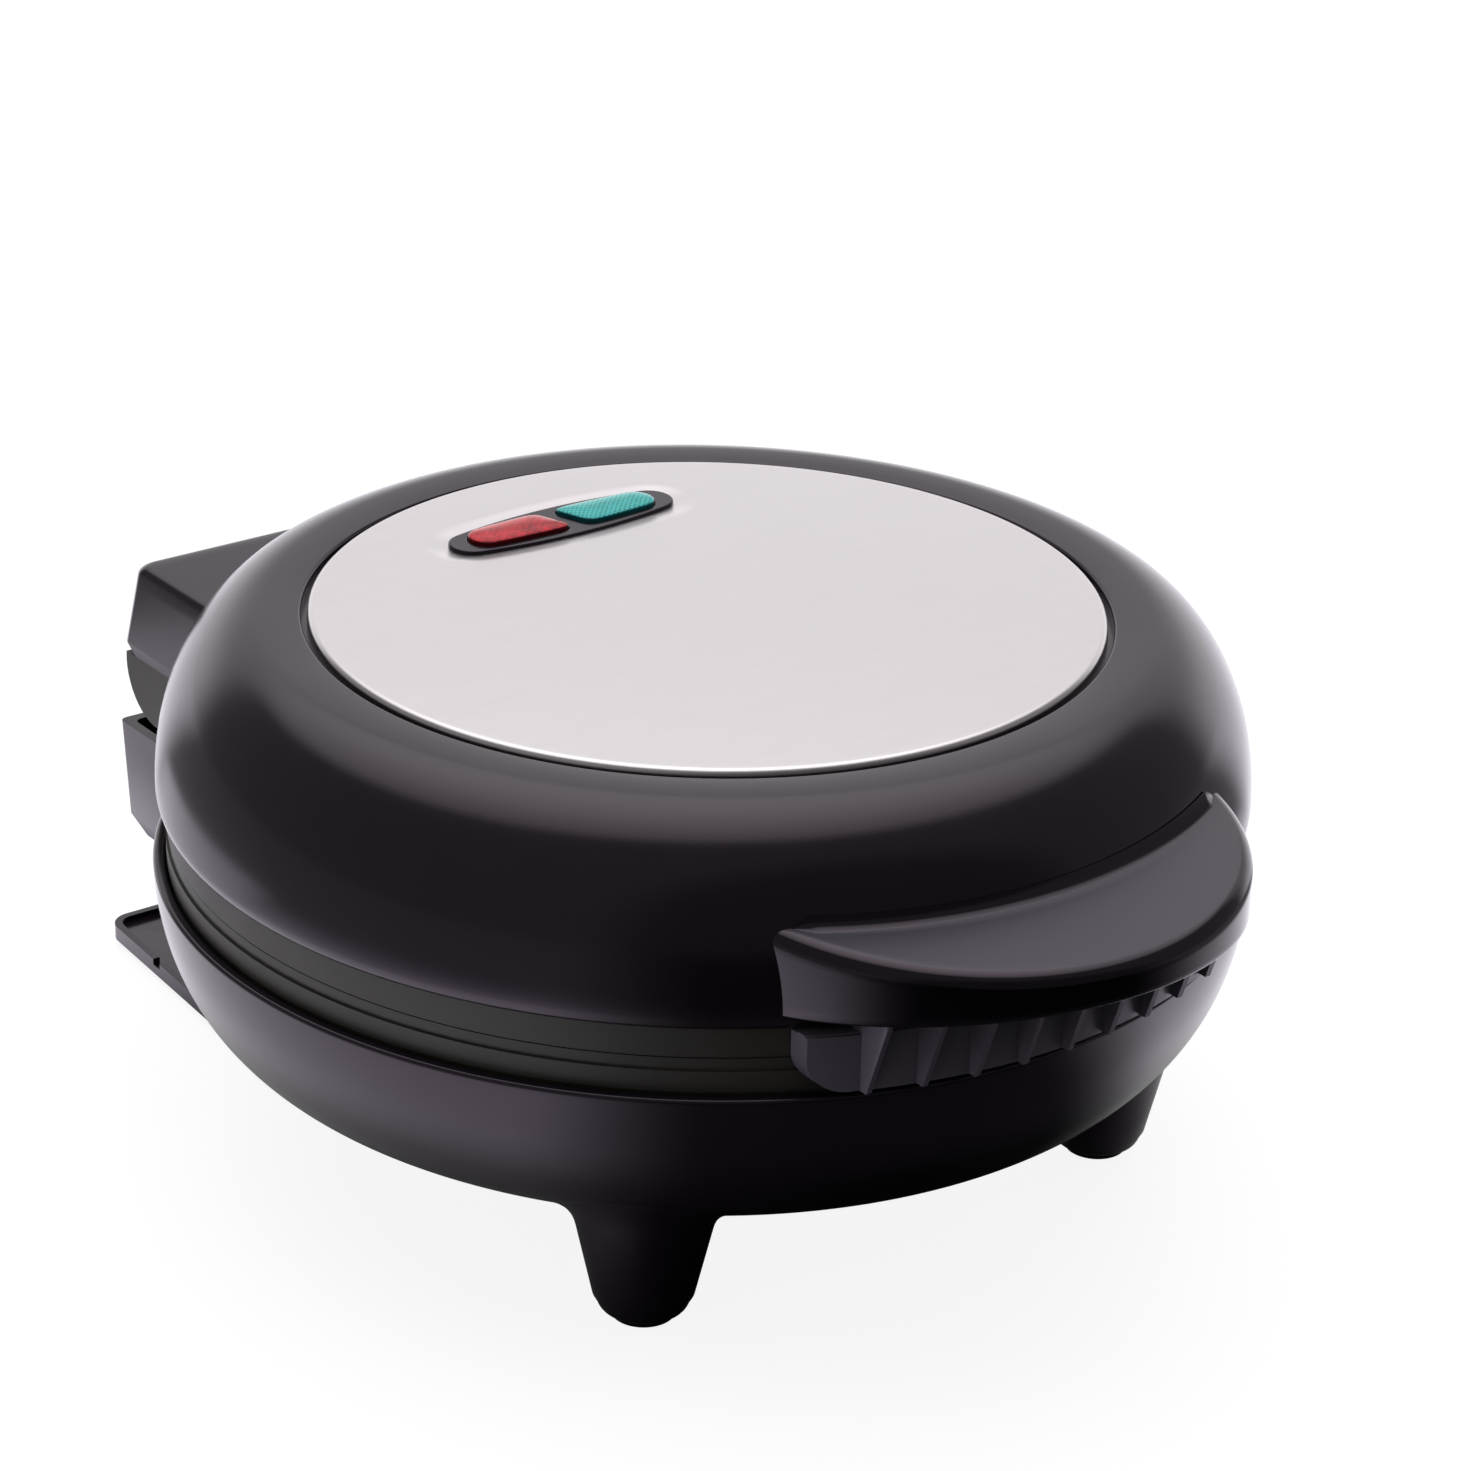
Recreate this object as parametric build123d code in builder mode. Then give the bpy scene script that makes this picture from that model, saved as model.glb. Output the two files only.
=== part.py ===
from build123d import *
import os
from math import cos, radians, sin, sqrt, tan

os.makedirs("parts", exist_ok=True)

# Round omelette maker with a lift-up lid, in millimetres.
# The floor is z = 0, the body's axis is x = y = 0, the handle is at -Y and the hinge at +Y.

# Body shells
BODY_R = 108.0            # widest radius, at the rim of the base bowl
FLOOR_CLEARANCE = 25.0    # underside of the bowl above the table
BOWL_DEPTH = 35.0         # underside of the bowl up to its rim
BOWL_SIDE_W = 25.0        # curved side of the bowl, outside its flat underside
SHELL_WALL = 2.4
RIM_ROUND = 0.8

LID_INSET = 0.8           # lid belly inside the base rim
LID_EDGE_TUCK = 1.4       # lid edge inside the lid belly
LID_EDGE_H = 2.7          # lid edge up to the belly
LID_RISE = 33.6           # belly up to the deck
LID_SHOULDER_W = 21.0     # curved shoulder of the lid, outside its flat deck

# Bands of heat-proof plastic between the shells
BAND_INSET = 2.6          # band inside the base rim
BAND_STEP = 0.5           # upper part of the lower band steps in
BAND_STEP_H = 2.4         # height of that part
SHADOW_GAP = 0.3          # dark line between base rim and lower band
LOWER_BAND_H = 6.85
UPPER_BAND_H = 6.15
PARTING_GAP = 0.3         # lid and base at the parting plane
RING_FACE_W = 8.0         # flat face of a band beside the cooking plate
RING_LEDGE_T = 3.0
RING_LEDGE_W = 6.0        # ledge under the cooking plate's rim
RING_SKIRT_H = 6.0
RING_SKIRT_T = 1.5
SKIRT_GAP = 0.8           # skirt of the lower band inside the bowl's wall
RING_ARM_REACH = 19.0     # hinge arms of the upper band, forward of the axis
RING_ARM_RISE = 9.5
KNUCKLE_ARM_REACH = 14.0
KNUCKLE_ARM_BACK = 2.0
FIT_GAP = 0.3             # loose fit between pieces that are screwed together

# Cooking plates
PLATE_RIM_T = 4.0
PLATE_WALL = 2.6
POCKET_DEPTH = 16.0
POCKET_RIM_W = 8.7        # flat rim outside the pockets
DIVIDER_W = 12.0
POCKET_CORNER_R = 16.0
POCKET_FLOOR_R = 6.0
POCKET_DRAFT = 18.0       # degrees
PLATE_BOSS_R = 4.5
PLATE_BOSS_Y = 30.0
CLAMP_SCREW_GRIP = 8.0

# Heating
ELEMENT_R = 3.25          # sheathed rod
ELEMENT_LOOP_R = 55.0
ELEMENT_GAP_ANGLE = 50.0  # opening of the loop at the rear
ELEMENT_TAIL = 12.0
ELEMENT_TAIL_BEND = 10.0
COLD_PIN_R = 1.2
COLD_PIN_L = 7.0
CLAMP_T = 1.2
CLAMP_W = 12.0
CLAMP_OVERHANG = 9.0
SHIELD_T = 0.6
SHIELD_CLEARANCE = 3.0    # clamp screws down to the shield
SHIELD_SLOPE = 16.5       # degrees from upright
SHIELD_WALL_GAP = 1.2     # shield outside the pocket wall

# Screws
SCREW_R = 1.5
SCREW_HEAD_R = 2.7
SCREW_HEAD_H = 1.9
SCREW_HEAD_ROUND = 0.8
SCREW_BOSS_R = 3.2
RING_SCREW_GRIP = 9.0
PLATE_SCREW_GRIP = 3.0
RING_SCREW_ANGLES = (30.0, 150.0, 210.0, 330.0)
PLATE_SCREW_ANGLES = (0.0, 90.0, 180.0, 270.0)

# Hinge
HINGE_INSET = 3.0         # hinge axis inside the base rim
HINGE_RISE = 12.0         # hinge axis above the base rim
HINGE_HALF_W = 62.5
BARREL_R = 12.0
BARREL_W = 22.0
BARREL_END_T = 2.5
KNUCKLE_R = 9.0
KNUCKLE_W = 13.5
HINGE_END_GAP = 0.4       # play along the pin
PIN_R = 2.5
PIN_RUN_GAP = 0.05        # radial running clearance
PIN_HEAD_R = 4.0
PIN_HEAD_T = 1.5
SWING_GAP = 0.5           # round the barrels as the lid turns

# Hinge cover moulded on the lid
COVER_RISE = 22.0         # flat top above the hinge axis
COVER_TOP_REACH = 8.5     # rear top edge behind the hinge axis
COVER_LOW_REACH = 14.6    # rear lower edge behind the hinge axis
COVER_LOW_RISE = 3.2      # that edge above the hinge axis
COVER_LIP = 2.9
COVER_CORNER_R = 4.0
COVER_EDGE_R = 2.0
COVER_RUN = 25.0          # forward of the hinge axis, into the dome

# Open bracket on the base below the hinge
BRACKET_HALF_W = 63.0
BRACKET_REACH = 15.0      # rear top edge behind the hinge axis
BRACKET_RUN = 35.0        # forward of the hinge axis, into the bowl
BRACKET_TOP_DROP = 3.2    # open top below the base rim
BRACKET_H = 20.3          # open top down to the knee
BRACKET_TAPER = 2.5       # rear wall comes in by this much down to the knee
BRACKET_HEEL_IN = 6.5     # lower slope behind the knee
BRACKET_HEEL_DROP = 2.6
BRACKET_WALL = 2.3

# Front feet and rear stand
FOOT_INSET = 26.65        # axes of the feet inside the base rim
FOOT_ANGLE = 46.5         # degrees forward of the sides
FOOT_TIP_R = 8.9
FOOT_TOP_R = 14.2
FOOT_TIP_ROUND = 2.6
FOOT_FLARE = 5.0          # hollow round where a foot runs into the bowl
FOOT_WALL = 2.2
PAD_T = 1.4
PAD_R = 6.2
PAD_ROUND = 0.5
PAD_PEG_R = 2.0
PAD_PEG_H = 2.0
STAND_HALF_W = 61.0
STAND_FLARE = 4.5         # stand is this much wider at its front
STAND_REACH = 23.5        # rear edge behind the base rim
STAND_LENGTH = 61.5
STAND_UNDER_Z = 1.5
STAND_T = 2.0
STAND_RIM_H = 1.3
STAND_RIM_W = 1.6
STAND_CORNER_R = 5.0
STAND_NOTCH_SETBACK = 23.5
STAND_NOTCH_W = 3.0
PEDESTAL_HALF_W = 34.0
PEDESTAL_SETBACK = 31.5   # rear of the neck in front of the stand's rear edge
PEDESTAL_LENGTH = 24.0
PEDESTAL_CORNER_R = 6.0
STAND_SCREW_X = 24.0
STAND_SCREW_GRIP = 8.0
STAND_PAD_X = 48.0
STAND_PAD_SETBACK = 13.5

# Cord inlet
INLET_DROP = 10.0         # bore below the underside of the bowl
INLET_BORE_R = 3.2
INLET_BUSH_R = 5.2
INLET_FLANGE_R = 6.8
INLET_FLANGE_T = 1.6
INLET_NOSE = 9.0

# Terminal block inside the base
BLOCK_L = 34.0
BLOCK_W = 15.0
BLOCK_H = 6.5
BLOCK_Y = 40.0
BLOCK_WAYS = 3
BLOCK_WIRE_R = 1.4

# Steel cover disc
DISC_MARGIN = 8.8         # flat deck outside the disc
DISC_GROOVE_W = 1.2
DISC_T = 0.8
DISC_PROUD = 0.7          # disc edge above the deck
DISC_CROWN = 1.2
DISC_EDGE_R = 1.3
DISC_SEAT_DEPTH = 2.3

# Lamp window
LAMP_INSET = 27.9         # middle of the window inside the disc's edge
BEZEL_L = 53.0
BEZEL_W = 14.5
BEZEL_END_SHARE = 0.34    # end radius of the bezel's oval as a share of its width
BEZEL_H = 0.9
BEZEL_ROUND = 0.6
BEZEL_LIP = 1.4           # bezel flange past the hole in the disc
LENS_BRIDGE = 4.0
LENS_END_SHARE = 0.42     # blunter ends of the lenses and of the hole under the bezel
LENS_SIDE_MARGIN = 2.2
LENS_END_MARGIN = 4.2
LENS_DOME = 1.4
LENS_FIT = 0.15
LENS_T = 4.0
WELL_L = 62.0
WELL_W = 23.0
WELL_DEPTH = 0.7
HOLDER_T = 1.6
HOLDER_H = 5.5
NEON_R = 2.0
NEON_L = 11.0
NEON_X = 12.0
NEON_TIP_ROUND = 1.2

# Handle
HANDLE_HALF_W = 53.0
HANDLE_REACH = 23.5       # front of the handle outside the base rim
HANDLE_TIP_INSET = 17.0   # tips behind the foremost point of the base rim
HANDLE_TIP_TOP_H = 19.0   # this and the next three above the lid's edge
HANDLE_FRONT_TOP_H = 15.9
HANDLE_TIP_LOW_H = 2.3
HANDLE_FRONT_LOW_H = 8.7
HANDLE_TOP_T = 2.6
HANDLE_WALL = 2.4
HANDLE_EDGE_R = 3.0
HANDLE_SEAT_GAP = 0.1
HANDLE_ROOT = 12.0        # run of the outline past the tips, into the dome
GRIP_HALF_W = 50.0
GRIP_T = 1.8
GRIP_RIM_GAP = 1.8        # grip above the base rim
GRIP_PROUD = 4.6          # front of the grip outside the band
GRIP_CORNER_R = 7.0
GRIP_COLLAR_HALF_W = 41.0
GRIP_COLLAR_H = 13.2      # collar above the lid's edge
GRIP_SHELF_T = 1.5
GRIP_BAND_GAP = 0.5       # sides and floor of the grip in front of the bands
GRIP_RIBS = 9
GRIP_RIB_PITCH = 10.1
GRIP_RIB_T = 1.2
GRIP_RIB_FOOT = 1.6       # reach of a rib at its lower end
GRIP_RIB_SLOPE = 19.0     # degrees from upright
HANDLE_SCREW_H = 10.2     # screws above the lid's edge
HANDLE_WEB_T = 2.0
HANDLE_BOSS_R = 3.4
HANDLE_BOSS_L = 9.0

# Thermostat and fuse on the upper cooking plate
THERMOSTAT_X = 32.0
THERMOSTAT_R = 8.0
THERMOSTAT_H = 6.0
THERMOSTAT_FLANGE_R = 9.5
THERMOSTAT_FLANGE_T = 1.0
BLADE_W = 4.0
BLADE_T = 0.8
BLADE_H = 2.4
FUSE_R = 2.0
FUSE_L = 13.0
FUSE_LEAD_R = 0.6
FUSE_LEAD_L = 8.0

QUARTER_TURN = 90.0

# Levels, radii and places that follow from the sizes above
RIM_Z = FLOOR_CLEARANCE + BOWL_DEPTH
BOWL_FLOOR_R = BODY_R - BOWL_SIDE_W
FLOOR_IN_Z = FLOOR_CLEARANCE + SHELL_WALL
LOWER_FACE_Z = RIM_Z + LOWER_BAND_H
UPPER_FACE_Z = LOWER_FACE_Z + PARTING_GAP
PARTING_Z = LOWER_FACE_Z + PARTING_GAP / 2
LID_EDGE_Z = UPPER_FACE_Z + UPPER_BAND_H
LID_BELLY_Z = LID_EDGE_Z + LID_EDGE_H
DECK_Z = LID_BELLY_Z + LID_RISE
LID_R = BODY_R - LID_INSET
LID_EDGE_R = LID_R - LID_EDGE_TUCK
LID_DECK_R = LID_R - LID_SHOULDER_W
DISC_R = LID_DECK_R - DISC_MARGIN
LAMP_Y = DISC_R - LAMP_INSET
HINGE_Y = BODY_R - HINGE_INSET
HINGE_Z = RIM_Z + HINGE_RISE
COVER_FRONT_Y = HINGE_Y - COVER_RUN
COVER_TOP_Z = HINGE_Z + COVER_RISE
BRACKET_REAR_Y = HINGE_Y + BRACKET_REACH
BRACKET_FRONT_Y = HINGE_Y - BRACKET_RUN
BRACKET_TOP_Z = RIM_Z - BRACKET_TOP_DROP
BRACKET_KNEE_Z = BRACKET_TOP_Z - BRACKET_H
FOOT_X = (BODY_R - FOOT_INSET) * cos(radians(FOOT_ANGLE))
FOOT_Y = -(BODY_R - FOOT_INSET) * sin(radians(FOOT_ANGLE))
STAND_REAR_Y = BODY_R + STAND_REACH
STAND_NOTCH_Y = STAND_REAR_Y - STAND_NOTCH_SETBACK
STAND_PAD_Y = STAND_REAR_Y - STAND_PAD_SETBACK
PEDESTAL_REAR_Y = STAND_REAR_Y - PEDESTAL_SETBACK
STAND_SCREW_Y = PEDESTAL_REAR_Y - PEDESTAL_LENGTH / 2
INLET_Z = FLOOR_CLEARANCE - INLET_DROP
HANDLE_FRONT_Y = -BODY_R - HANDLE_REACH
HANDLE_TIP_Y = -BODY_R + HANDLE_TIP_INSET
HANDLE_TIP_TOP_Z = LID_EDGE_Z + HANDLE_TIP_TOP_H
HANDLE_FRONT_TOP_Z = LID_EDGE_Z + HANDLE_FRONT_TOP_H
HANDLE_TIP_LOW_Z = LID_EDGE_Z + HANDLE_TIP_LOW_H
HANDLE_FRONT_LOW_Z = LID_EDGE_Z + HANDLE_FRONT_LOW_H
HANDLE_SCREW_X = GRIP_RIB_PITCH * 5 / 2
HANDLE_SCREW_Z = LID_EDGE_Z + HANDLE_SCREW_H
GRIP_LOW_Z = RIM_Z + GRIP_RIM_GAP
GRIP_COLLAR_TOP_Z = LID_EDGE_Z + GRIP_COLLAR_H
GRIP_RIB_TOP_Z = HANDLE_FRONT_LOW_Z
BAND_R = BODY_R - BAND_INSET
UPPER_BAND_R = LID_EDGE_R - BAND_STEP
SEAT_R = BAND_R - BAND_STEP - RING_FACE_W
PLATE_R = SEAT_R - FIT_GAP
LEDGE_Z = LOWER_FACE_Z - PLATE_RIM_T
LEDGE_UNDER_Z = LEDGE_Z - RING_LEDGE_T
LEDGE_R = SEAT_R - RING_LEDGE_W
RING_SCREW_R = SEAT_R + RING_FACE_W / 2
PLATE_SCREW_R = (SEAT_R + LEDGE_R) / 2
POCKET_R = PLATE_R - POCKET_RIM_W
POCKET_FLOOR_Z = LOWER_FACE_Z - POCKET_DEPTH
PLATE_UNDER_Z = POCKET_FLOOR_Z - PLATE_WALL
ELEMENT_Z = PLATE_UNDER_Z - ELEMENT_R
CLAMP_Z = ELEMENT_Z - ELEMENT_R
SHIELD_Z = CLAMP_Z - CLAMP_T - SCREW_HEAD_H - SHIELD_CLEARANCE
CLAMP_X = sqrt(ELEMENT_LOOP_R**2 - PLATE_BOSS_Y**2) + CLAMP_OVERHANG
HANDLE_DEPTH = HANDLE_TIP_Y - HANDLE_FRONT_Y
HANDLE_ARC_R = (HANDLE_HALF_W**2 + HANDLE_DEPTH**2) / (2 * HANDLE_DEPTH)
HANDLE_ARC_Y = HANDLE_FRONT_Y + HANDLE_ARC_R
GRIP_IN_R = BAND_R + GRIP_BAND_GAP
GRIP_OUT_R = BAND_R + GRIP_PROUD
COLLAR_IN_R = LID_R + FIT_GAP
COLLAR_OUT_R = COLLAR_IN_R + GRIP_T
BARREL_IN_X = HINGE_HALF_W - BARREL_W
KNUCKLE_OUT_X = BARREL_IN_X - HINGE_END_GAP
KNUCKLE_IN_X = KNUCKLE_OUT_X - KNUCKLE_W
STAND_TOP_Z = STAND_UNDER_Z + STAND_T
DISC_SEAT_Z = DECK_Z - DISC_SEAT_DEPTH
DISC_EDGE_Z = DECK_Z + DISC_PROUD
DISC_DOME_R = (DISC_R**2 + DISC_CROWN**2) / (2 * DISC_CROWN)
LAMP_TOP_Z = DISC_EDGE_Z + DISC_CROWN - LAMP_Y**2 / (2 * DISC_DOME_R) - WELL_DEPTH
DOME_Z_SHARE = (HANDLE_SCREW_Z + SCREW_HEAD_R - LID_BELLY_Z) / (LID_RISE - SHELL_WALL)
DOME_IN_R = LID_DECK_R + (LID_SHOULDER_W - SHELL_WALL) * sqrt(1 - DOME_Z_SHARE**2)
HANDLE_SCREW_SEAT = sqrt(DOME_IN_R**2 - (HANDLE_SCREW_X + SCREW_HEAD_R)**2)
HINGE_PLANE = Plane(origin=(0, HINGE_Y, HINGE_Z), x_dir=(0, 1, 0), z_dir=(1, 0, 0))


def save(piece, name):
    """Label a finished piece and write it as one file."""
    piece.part.label = name
    export_step(piece.part, f"parts/{name}.step")


def across(x):
    """Upright plane square to the hinge axis at x, with Y to the right and Z up."""
    return Plane(origin=(x, 0, 0), x_dir=(0, 1, 0), z_dir=(1, 0, 0))


def bowl_outline(inset):
    """Half section of the base bowl, drawn in by inset, closed at its rim and axis."""
    with BuildSketch(Plane.XZ) as outline:
        with BuildLine():
            side = EllipticalCenterArc(
                (BOWL_FLOOR_R, RIM_Z), BOWL_SIDE_W - inset, BOWL_DEPTH - inset,
                -QUARTER_TURN, arc_size=QUARTER_TURN,
            )
            Line(side @ 1, (0, RIM_Z))
            Line((0, RIM_Z), (0, FLOOR_CLEARANCE + inset))
            Line((0, FLOOR_CLEARANCE + inset), side @ 0)
        make_face()
    return outline.sketch


def dome_outline(inset, gap=0.0):
    """Half section of the lid dome, drawn in by inset or swelled by gap."""
    grow = gap - inset
    with BuildSketch(Plane.XZ) as outline:
        with BuildLine():
            shoulder = EllipticalCenterArc(
                (LID_DECK_R, LID_BELLY_Z), LID_SHOULDER_W + grow, LID_RISE + grow, 0, arc_size=QUARTER_TURN
            )
            Line(shoulder @ 1, (0, DECK_Z + grow))
            Line((0, DECK_Z + grow), (0, LID_EDGE_Z))
            Line((0, LID_EDGE_Z), (LID_EDGE_R + grow, LID_EDGE_Z))
            Line((LID_EDGE_R + grow, LID_EDGE_Z), shoulder @ 0)
        make_face()
    return outline.sketch


def pointed_oval(length, width, end_share):
    """Long oval with bulging sides and round ends that run smoothly into them, along X."""
    end_r = width * end_share
    side_r = ((length / 2 - end_r)**2 / (width / 2 - end_r) + end_r + width / 2) / 2
    lean = sqrt((side_r - end_r)**2 - (side_r - width / 2)**2) / (side_r - end_r)
    join_x = side_r * lean
    join_y = side_r * sqrt(1 - lean**2) - side_r + width / 2
    with BuildSketch() as outline:
        with BuildLine():
            ThreePointArc((-join_x, join_y), (0, width / 2), (join_x, join_y))
            ThreePointArc((join_x, join_y), (length / 2, 0), (join_x, -join_y))
            ThreePointArc((join_x, -join_y), (0, -width / 2), (-join_x, -join_y))
            ThreePointArc((-join_x, -join_y), (-length / 2, 0), (-join_x, join_y))
        make_face()
    return outline.sketch


def upper(z):
    """Height in the lid that answers to a height in the base, across the parting plane."""
    return 2 * PARTING_Z - z


def around(radius, angles):
    """Points on a circle at the given angles in degrees."""
    return [(radius * cos(radians(a)), radius * sin(radians(a))) for a in angles]


def pan_screw(grip):
    """Pan-head screw, its shank up from z = 0 and its head below."""
    with BuildPart() as screw:
        Cylinder(SCREW_R, grip, align=(Align.CENTER, Align.CENTER, Align.MIN))
        Cylinder(SCREW_HEAD_R, SCREW_HEAD_H, align=(Align.CENTER, Align.CENTER, Align.MAX))
        fillet(screw.faces().sort_by(Axis.Z)[0].edges(), SCREW_HEAD_ROUND)
        with Locations((0, 0, -SCREW_HEAD_H)):
            for turn in (0, 90):
                Box(SCREW_HEAD_R, SCREW_R / 2, SCREW_HEAD_H, rotation=(0, 0, turn), mode=Mode.SUBTRACT)
    return screw.part


def flat_screw(grip):
    """Countersunk screw, its head flush with z = 0 and its shank up."""
    with BuildPart() as screw:
        Cylinder(SCREW_R, grip, align=(Align.CENTER, Align.CENTER, Align.MIN))
        Cone(SCREW_HEAD_R, SCREW_R, SCREW_HEAD_H, align=(Align.CENTER, Align.CENTER, Align.MIN))
        for turn in (0, 90):
            Box(SCREW_HEAD_R, SCREW_R / 2, SCREW_HEAD_H, rotation=(0, 0, turn), mode=Mode.SUBTRACT)
    return screw.part


def flat_screw_hole(depth):
    """Space that a countersunk screw fills, up from z = 0."""
    with BuildPart() as hole:
        Cylinder(SCREW_R, depth, align=(Align.CENTER, Align.CENTER, Align.MIN))
        Cone(SCREW_HEAD_R, SCREW_R, SCREW_HEAD_H, align=(Align.CENTER, Align.CENTER, Align.MIN))
    return hole.part


def oval_block(length, width, low, high, end_share=BEZEL_END_SHARE):
    """Upright block with the pointed oval outline of the lamp window."""
    with BuildPart() as block:
        with BuildSketch(Plane.XY.offset(low)):
            with Locations((0, LAMP_Y)):
                add(pointed_oval(length, width, end_share))
        extrude(amount=high - low)
    return block.part


def dome_solid(gap=0.0):
    """The lid dome filled in, swelled by gap."""
    with BuildPart() as dome:
        with BuildSketch(Plane.XZ):
            add(dome_outline(0, gap))
        revolve(axis=Axis.Z)
    return dome.part


def bowl_solid():
    """The base bowl filled in, with its rim rounded."""
    with BuildPart() as bowl:
        with BuildSketch(Plane.XZ):
            add(bowl_outline(0))
        revolve(axis=Axis.Z)
        fillet(bowl.faces().sort_by(Axis.Z)[-1].edges(), RIM_ROUND)
    return bowl.part


def columns(radius, circle_r, angles, low, high):
    """Upright round columns on a circle, for posts or for holes."""
    with BuildPart() as posts:
        with BuildSketch(Plane.XY.offset(low)):
            with Locations(*around(circle_r, angles)):
                Circle(radius)
        extrude(amount=high - low)
    return posts.part


def foot_solid(inset):
    """One front foot, or with an inset the hollow in it."""
    tip_z = PAD_T + inset
    top_z = FLOOR_CLEARANCE + BOWL_DEPTH / 4
    slope = (FOOT_TOP_R - FOOT_TIP_R) / (FLOOR_CLEARANCE - PAD_T)
    top_r = FOOT_TOP_R + slope * (top_z - FLOOR_CLEARANCE) - inset
    with BuildPart() as foot:
        with BuildSketch(Plane.XZ):
            with BuildLine():
                Polyline((0, tip_z), (FOOT_TIP_R - inset, tip_z), (top_r, top_z), (0, top_z), close=True)
            make_face()
        revolve(axis=Axis.Z)
        fillet(foot.faces().sort_by(Axis.Z)[0].edges(), FOOT_TIP_ROUND)
    return foot.part


def is_foot_seam(edge):
    """True for the edges where a front foot meets the bowl."""
    middle = edge.center()
    off_axis = sqrt((abs(middle.X) - FOOT_X)**2 + (middle.Y - FOOT_Y)**2)
    return middle.Z > FLOOR_CLEARANCE - FOOT_FLARE / 2 and off_axis < FOOT_TOP_R + FOOT_FLARE


def bracket_block(inset):
    """Bracket under the hinge, or with an inset the space inside its walls."""
    floor_z = BRACKET_KNEE_Z - BRACKET_HEEL_DROP + inset
    knee_y = BRACKET_REAR_Y - BRACKET_TAPER - inset
    with BuildPart() as block:
        with BuildSketch(across(0)):
            with BuildLine():
                Polyline(
                    (BRACKET_FRONT_Y, floor_z),
                    (knee_y - BRACKET_HEEL_IN, floor_z),
                    (knee_y, BRACKET_KNEE_Z + inset),
                    (BRACKET_REAR_Y - inset, BRACKET_TOP_Z),
                    (BRACKET_FRONT_Y, BRACKET_TOP_Z),
                    close=True,
                )
            make_face()
        extrude(amount=BRACKET_HALF_W - inset, both=True)
    return block.part


def pedestal_block(inset, low, high):
    """Neck between the bowl and the rear stand, or with an inset its hollow."""
    with BuildPart() as block:
        with BuildSketch(Plane.XY.offset(low)):
            with Locations((0, PEDESTAL_REAR_Y - PEDESTAL_LENGTH / 2)):
                RectangleRounded(
                    2 * (PEDESTAL_HALF_W - inset), PEDESTAL_LENGTH - 2 * inset, PEDESTAL_CORNER_R - inset
                )
        extrude(amount=high - low)
    return block.part


def sides(x):
    """The two x places of a mirrored pair."""
    return (-x, x)


# Base housing: bowl, feet, bracket under the hinge and neck of the rear stand
with BuildPart() as base_cavity:
    with BuildSketch(Plane.XZ):
        add(bowl_outline(SHELL_WALL))
    revolve(axis=Axis.Z)
    add(
        columns(SCREW_BOSS_R, RING_SCREW_R, RING_SCREW_ANGLES, FLOOR_IN_Z, LEDGE_UNDER_Z),
        mode=Mode.SUBTRACT,
    )

with BuildPart() as footed_bowl:
    add(bowl_solid())
    with Locations(*[(x, FOOT_Y, 0) for x in sides(FOOT_X)]):
        add(foot_solid(0))
    fillet(footed_bowl.edges().filter_by(is_foot_seam), FOOT_FLARE)

with BuildPart() as base_housing:
    add(bracket_block(0))
    add(bracket_block(BRACKET_WALL), mode=Mode.SUBTRACT)
    add(footed_bowl.part)
    add(pedestal_block(0, STAND_TOP_Z, BRACKET_KNEE_Z))
    with BuildSketch(Plane.XY.offset(BRACKET_TOP_Z)):
        with Locations((0, (BRACKET_FRONT_Y + BRACKET_REAR_Y) / 2)):
            Rectangle(2 * BRACKET_HALF_W, BRACKET_REAR_Y - BRACKET_FRONT_Y)
    extrude(amount=BOWL_DEPTH, mode=Mode.SUBTRACT)
    add(base_cavity.part, mode=Mode.SUBTRACT)
    with Locations(*[(x, FOOT_Y, 0) for x in sides(FOOT_X)]):
        add(foot_solid(FOOT_WALL), mode=Mode.SUBTRACT)
    add(pedestal_block(SHELL_WALL, STAND_TOP_Z, FLOOR_IN_Z), mode=Mode.SUBTRACT)
    with BuildSketch(Plane.XY.offset(STAND_TOP_Z)):
        with Locations(*[(x, STAND_SCREW_Y) for x in sides(STAND_SCREW_X)]):
            Circle(SCREW_BOSS_R)
    extrude(amount=FLOOR_IN_Z - STAND_TOP_Z)
    with Locations(*[(x, STAND_SCREW_Y, STAND_UNDER_Z) for x in sides(STAND_SCREW_X)]):
        add(flat_screw_hole(STAND_SCREW_GRIP), mode=Mode.SUBTRACT)
    add(
        columns(
            SCREW_R, RING_SCREW_R, RING_SCREW_ANGLES,
            LEDGE_UNDER_Z - RING_SCREW_GRIP, LEDGE_UNDER_Z,
        ),
        mode=Mode.SUBTRACT,
    )
    with BuildSketch(Plane.XZ.offset(-PEDESTAL_REAR_Y)):
        with Locations((0, INLET_Z)):
            Circle(INLET_BUSH_R)
    extrude(amount=SHELL_WALL, mode=Mode.SUBTRACT)
save(base_housing, "base_housing")

# Pads under the front feet and the stand
with BuildPart() as foot_pads:
    with BuildSketch():
        with Locations(*[(x, FOOT_Y) for x in sides(FOOT_X)]):
            Circle(PAD_R)
    extrude(amount=PAD_T)
    fillet(foot_pads.faces().filter_by(Axis.Z).group_by(Axis.Z)[0].edges(), PAD_ROUND)
save(foot_pads, "foot_pads")

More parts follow.
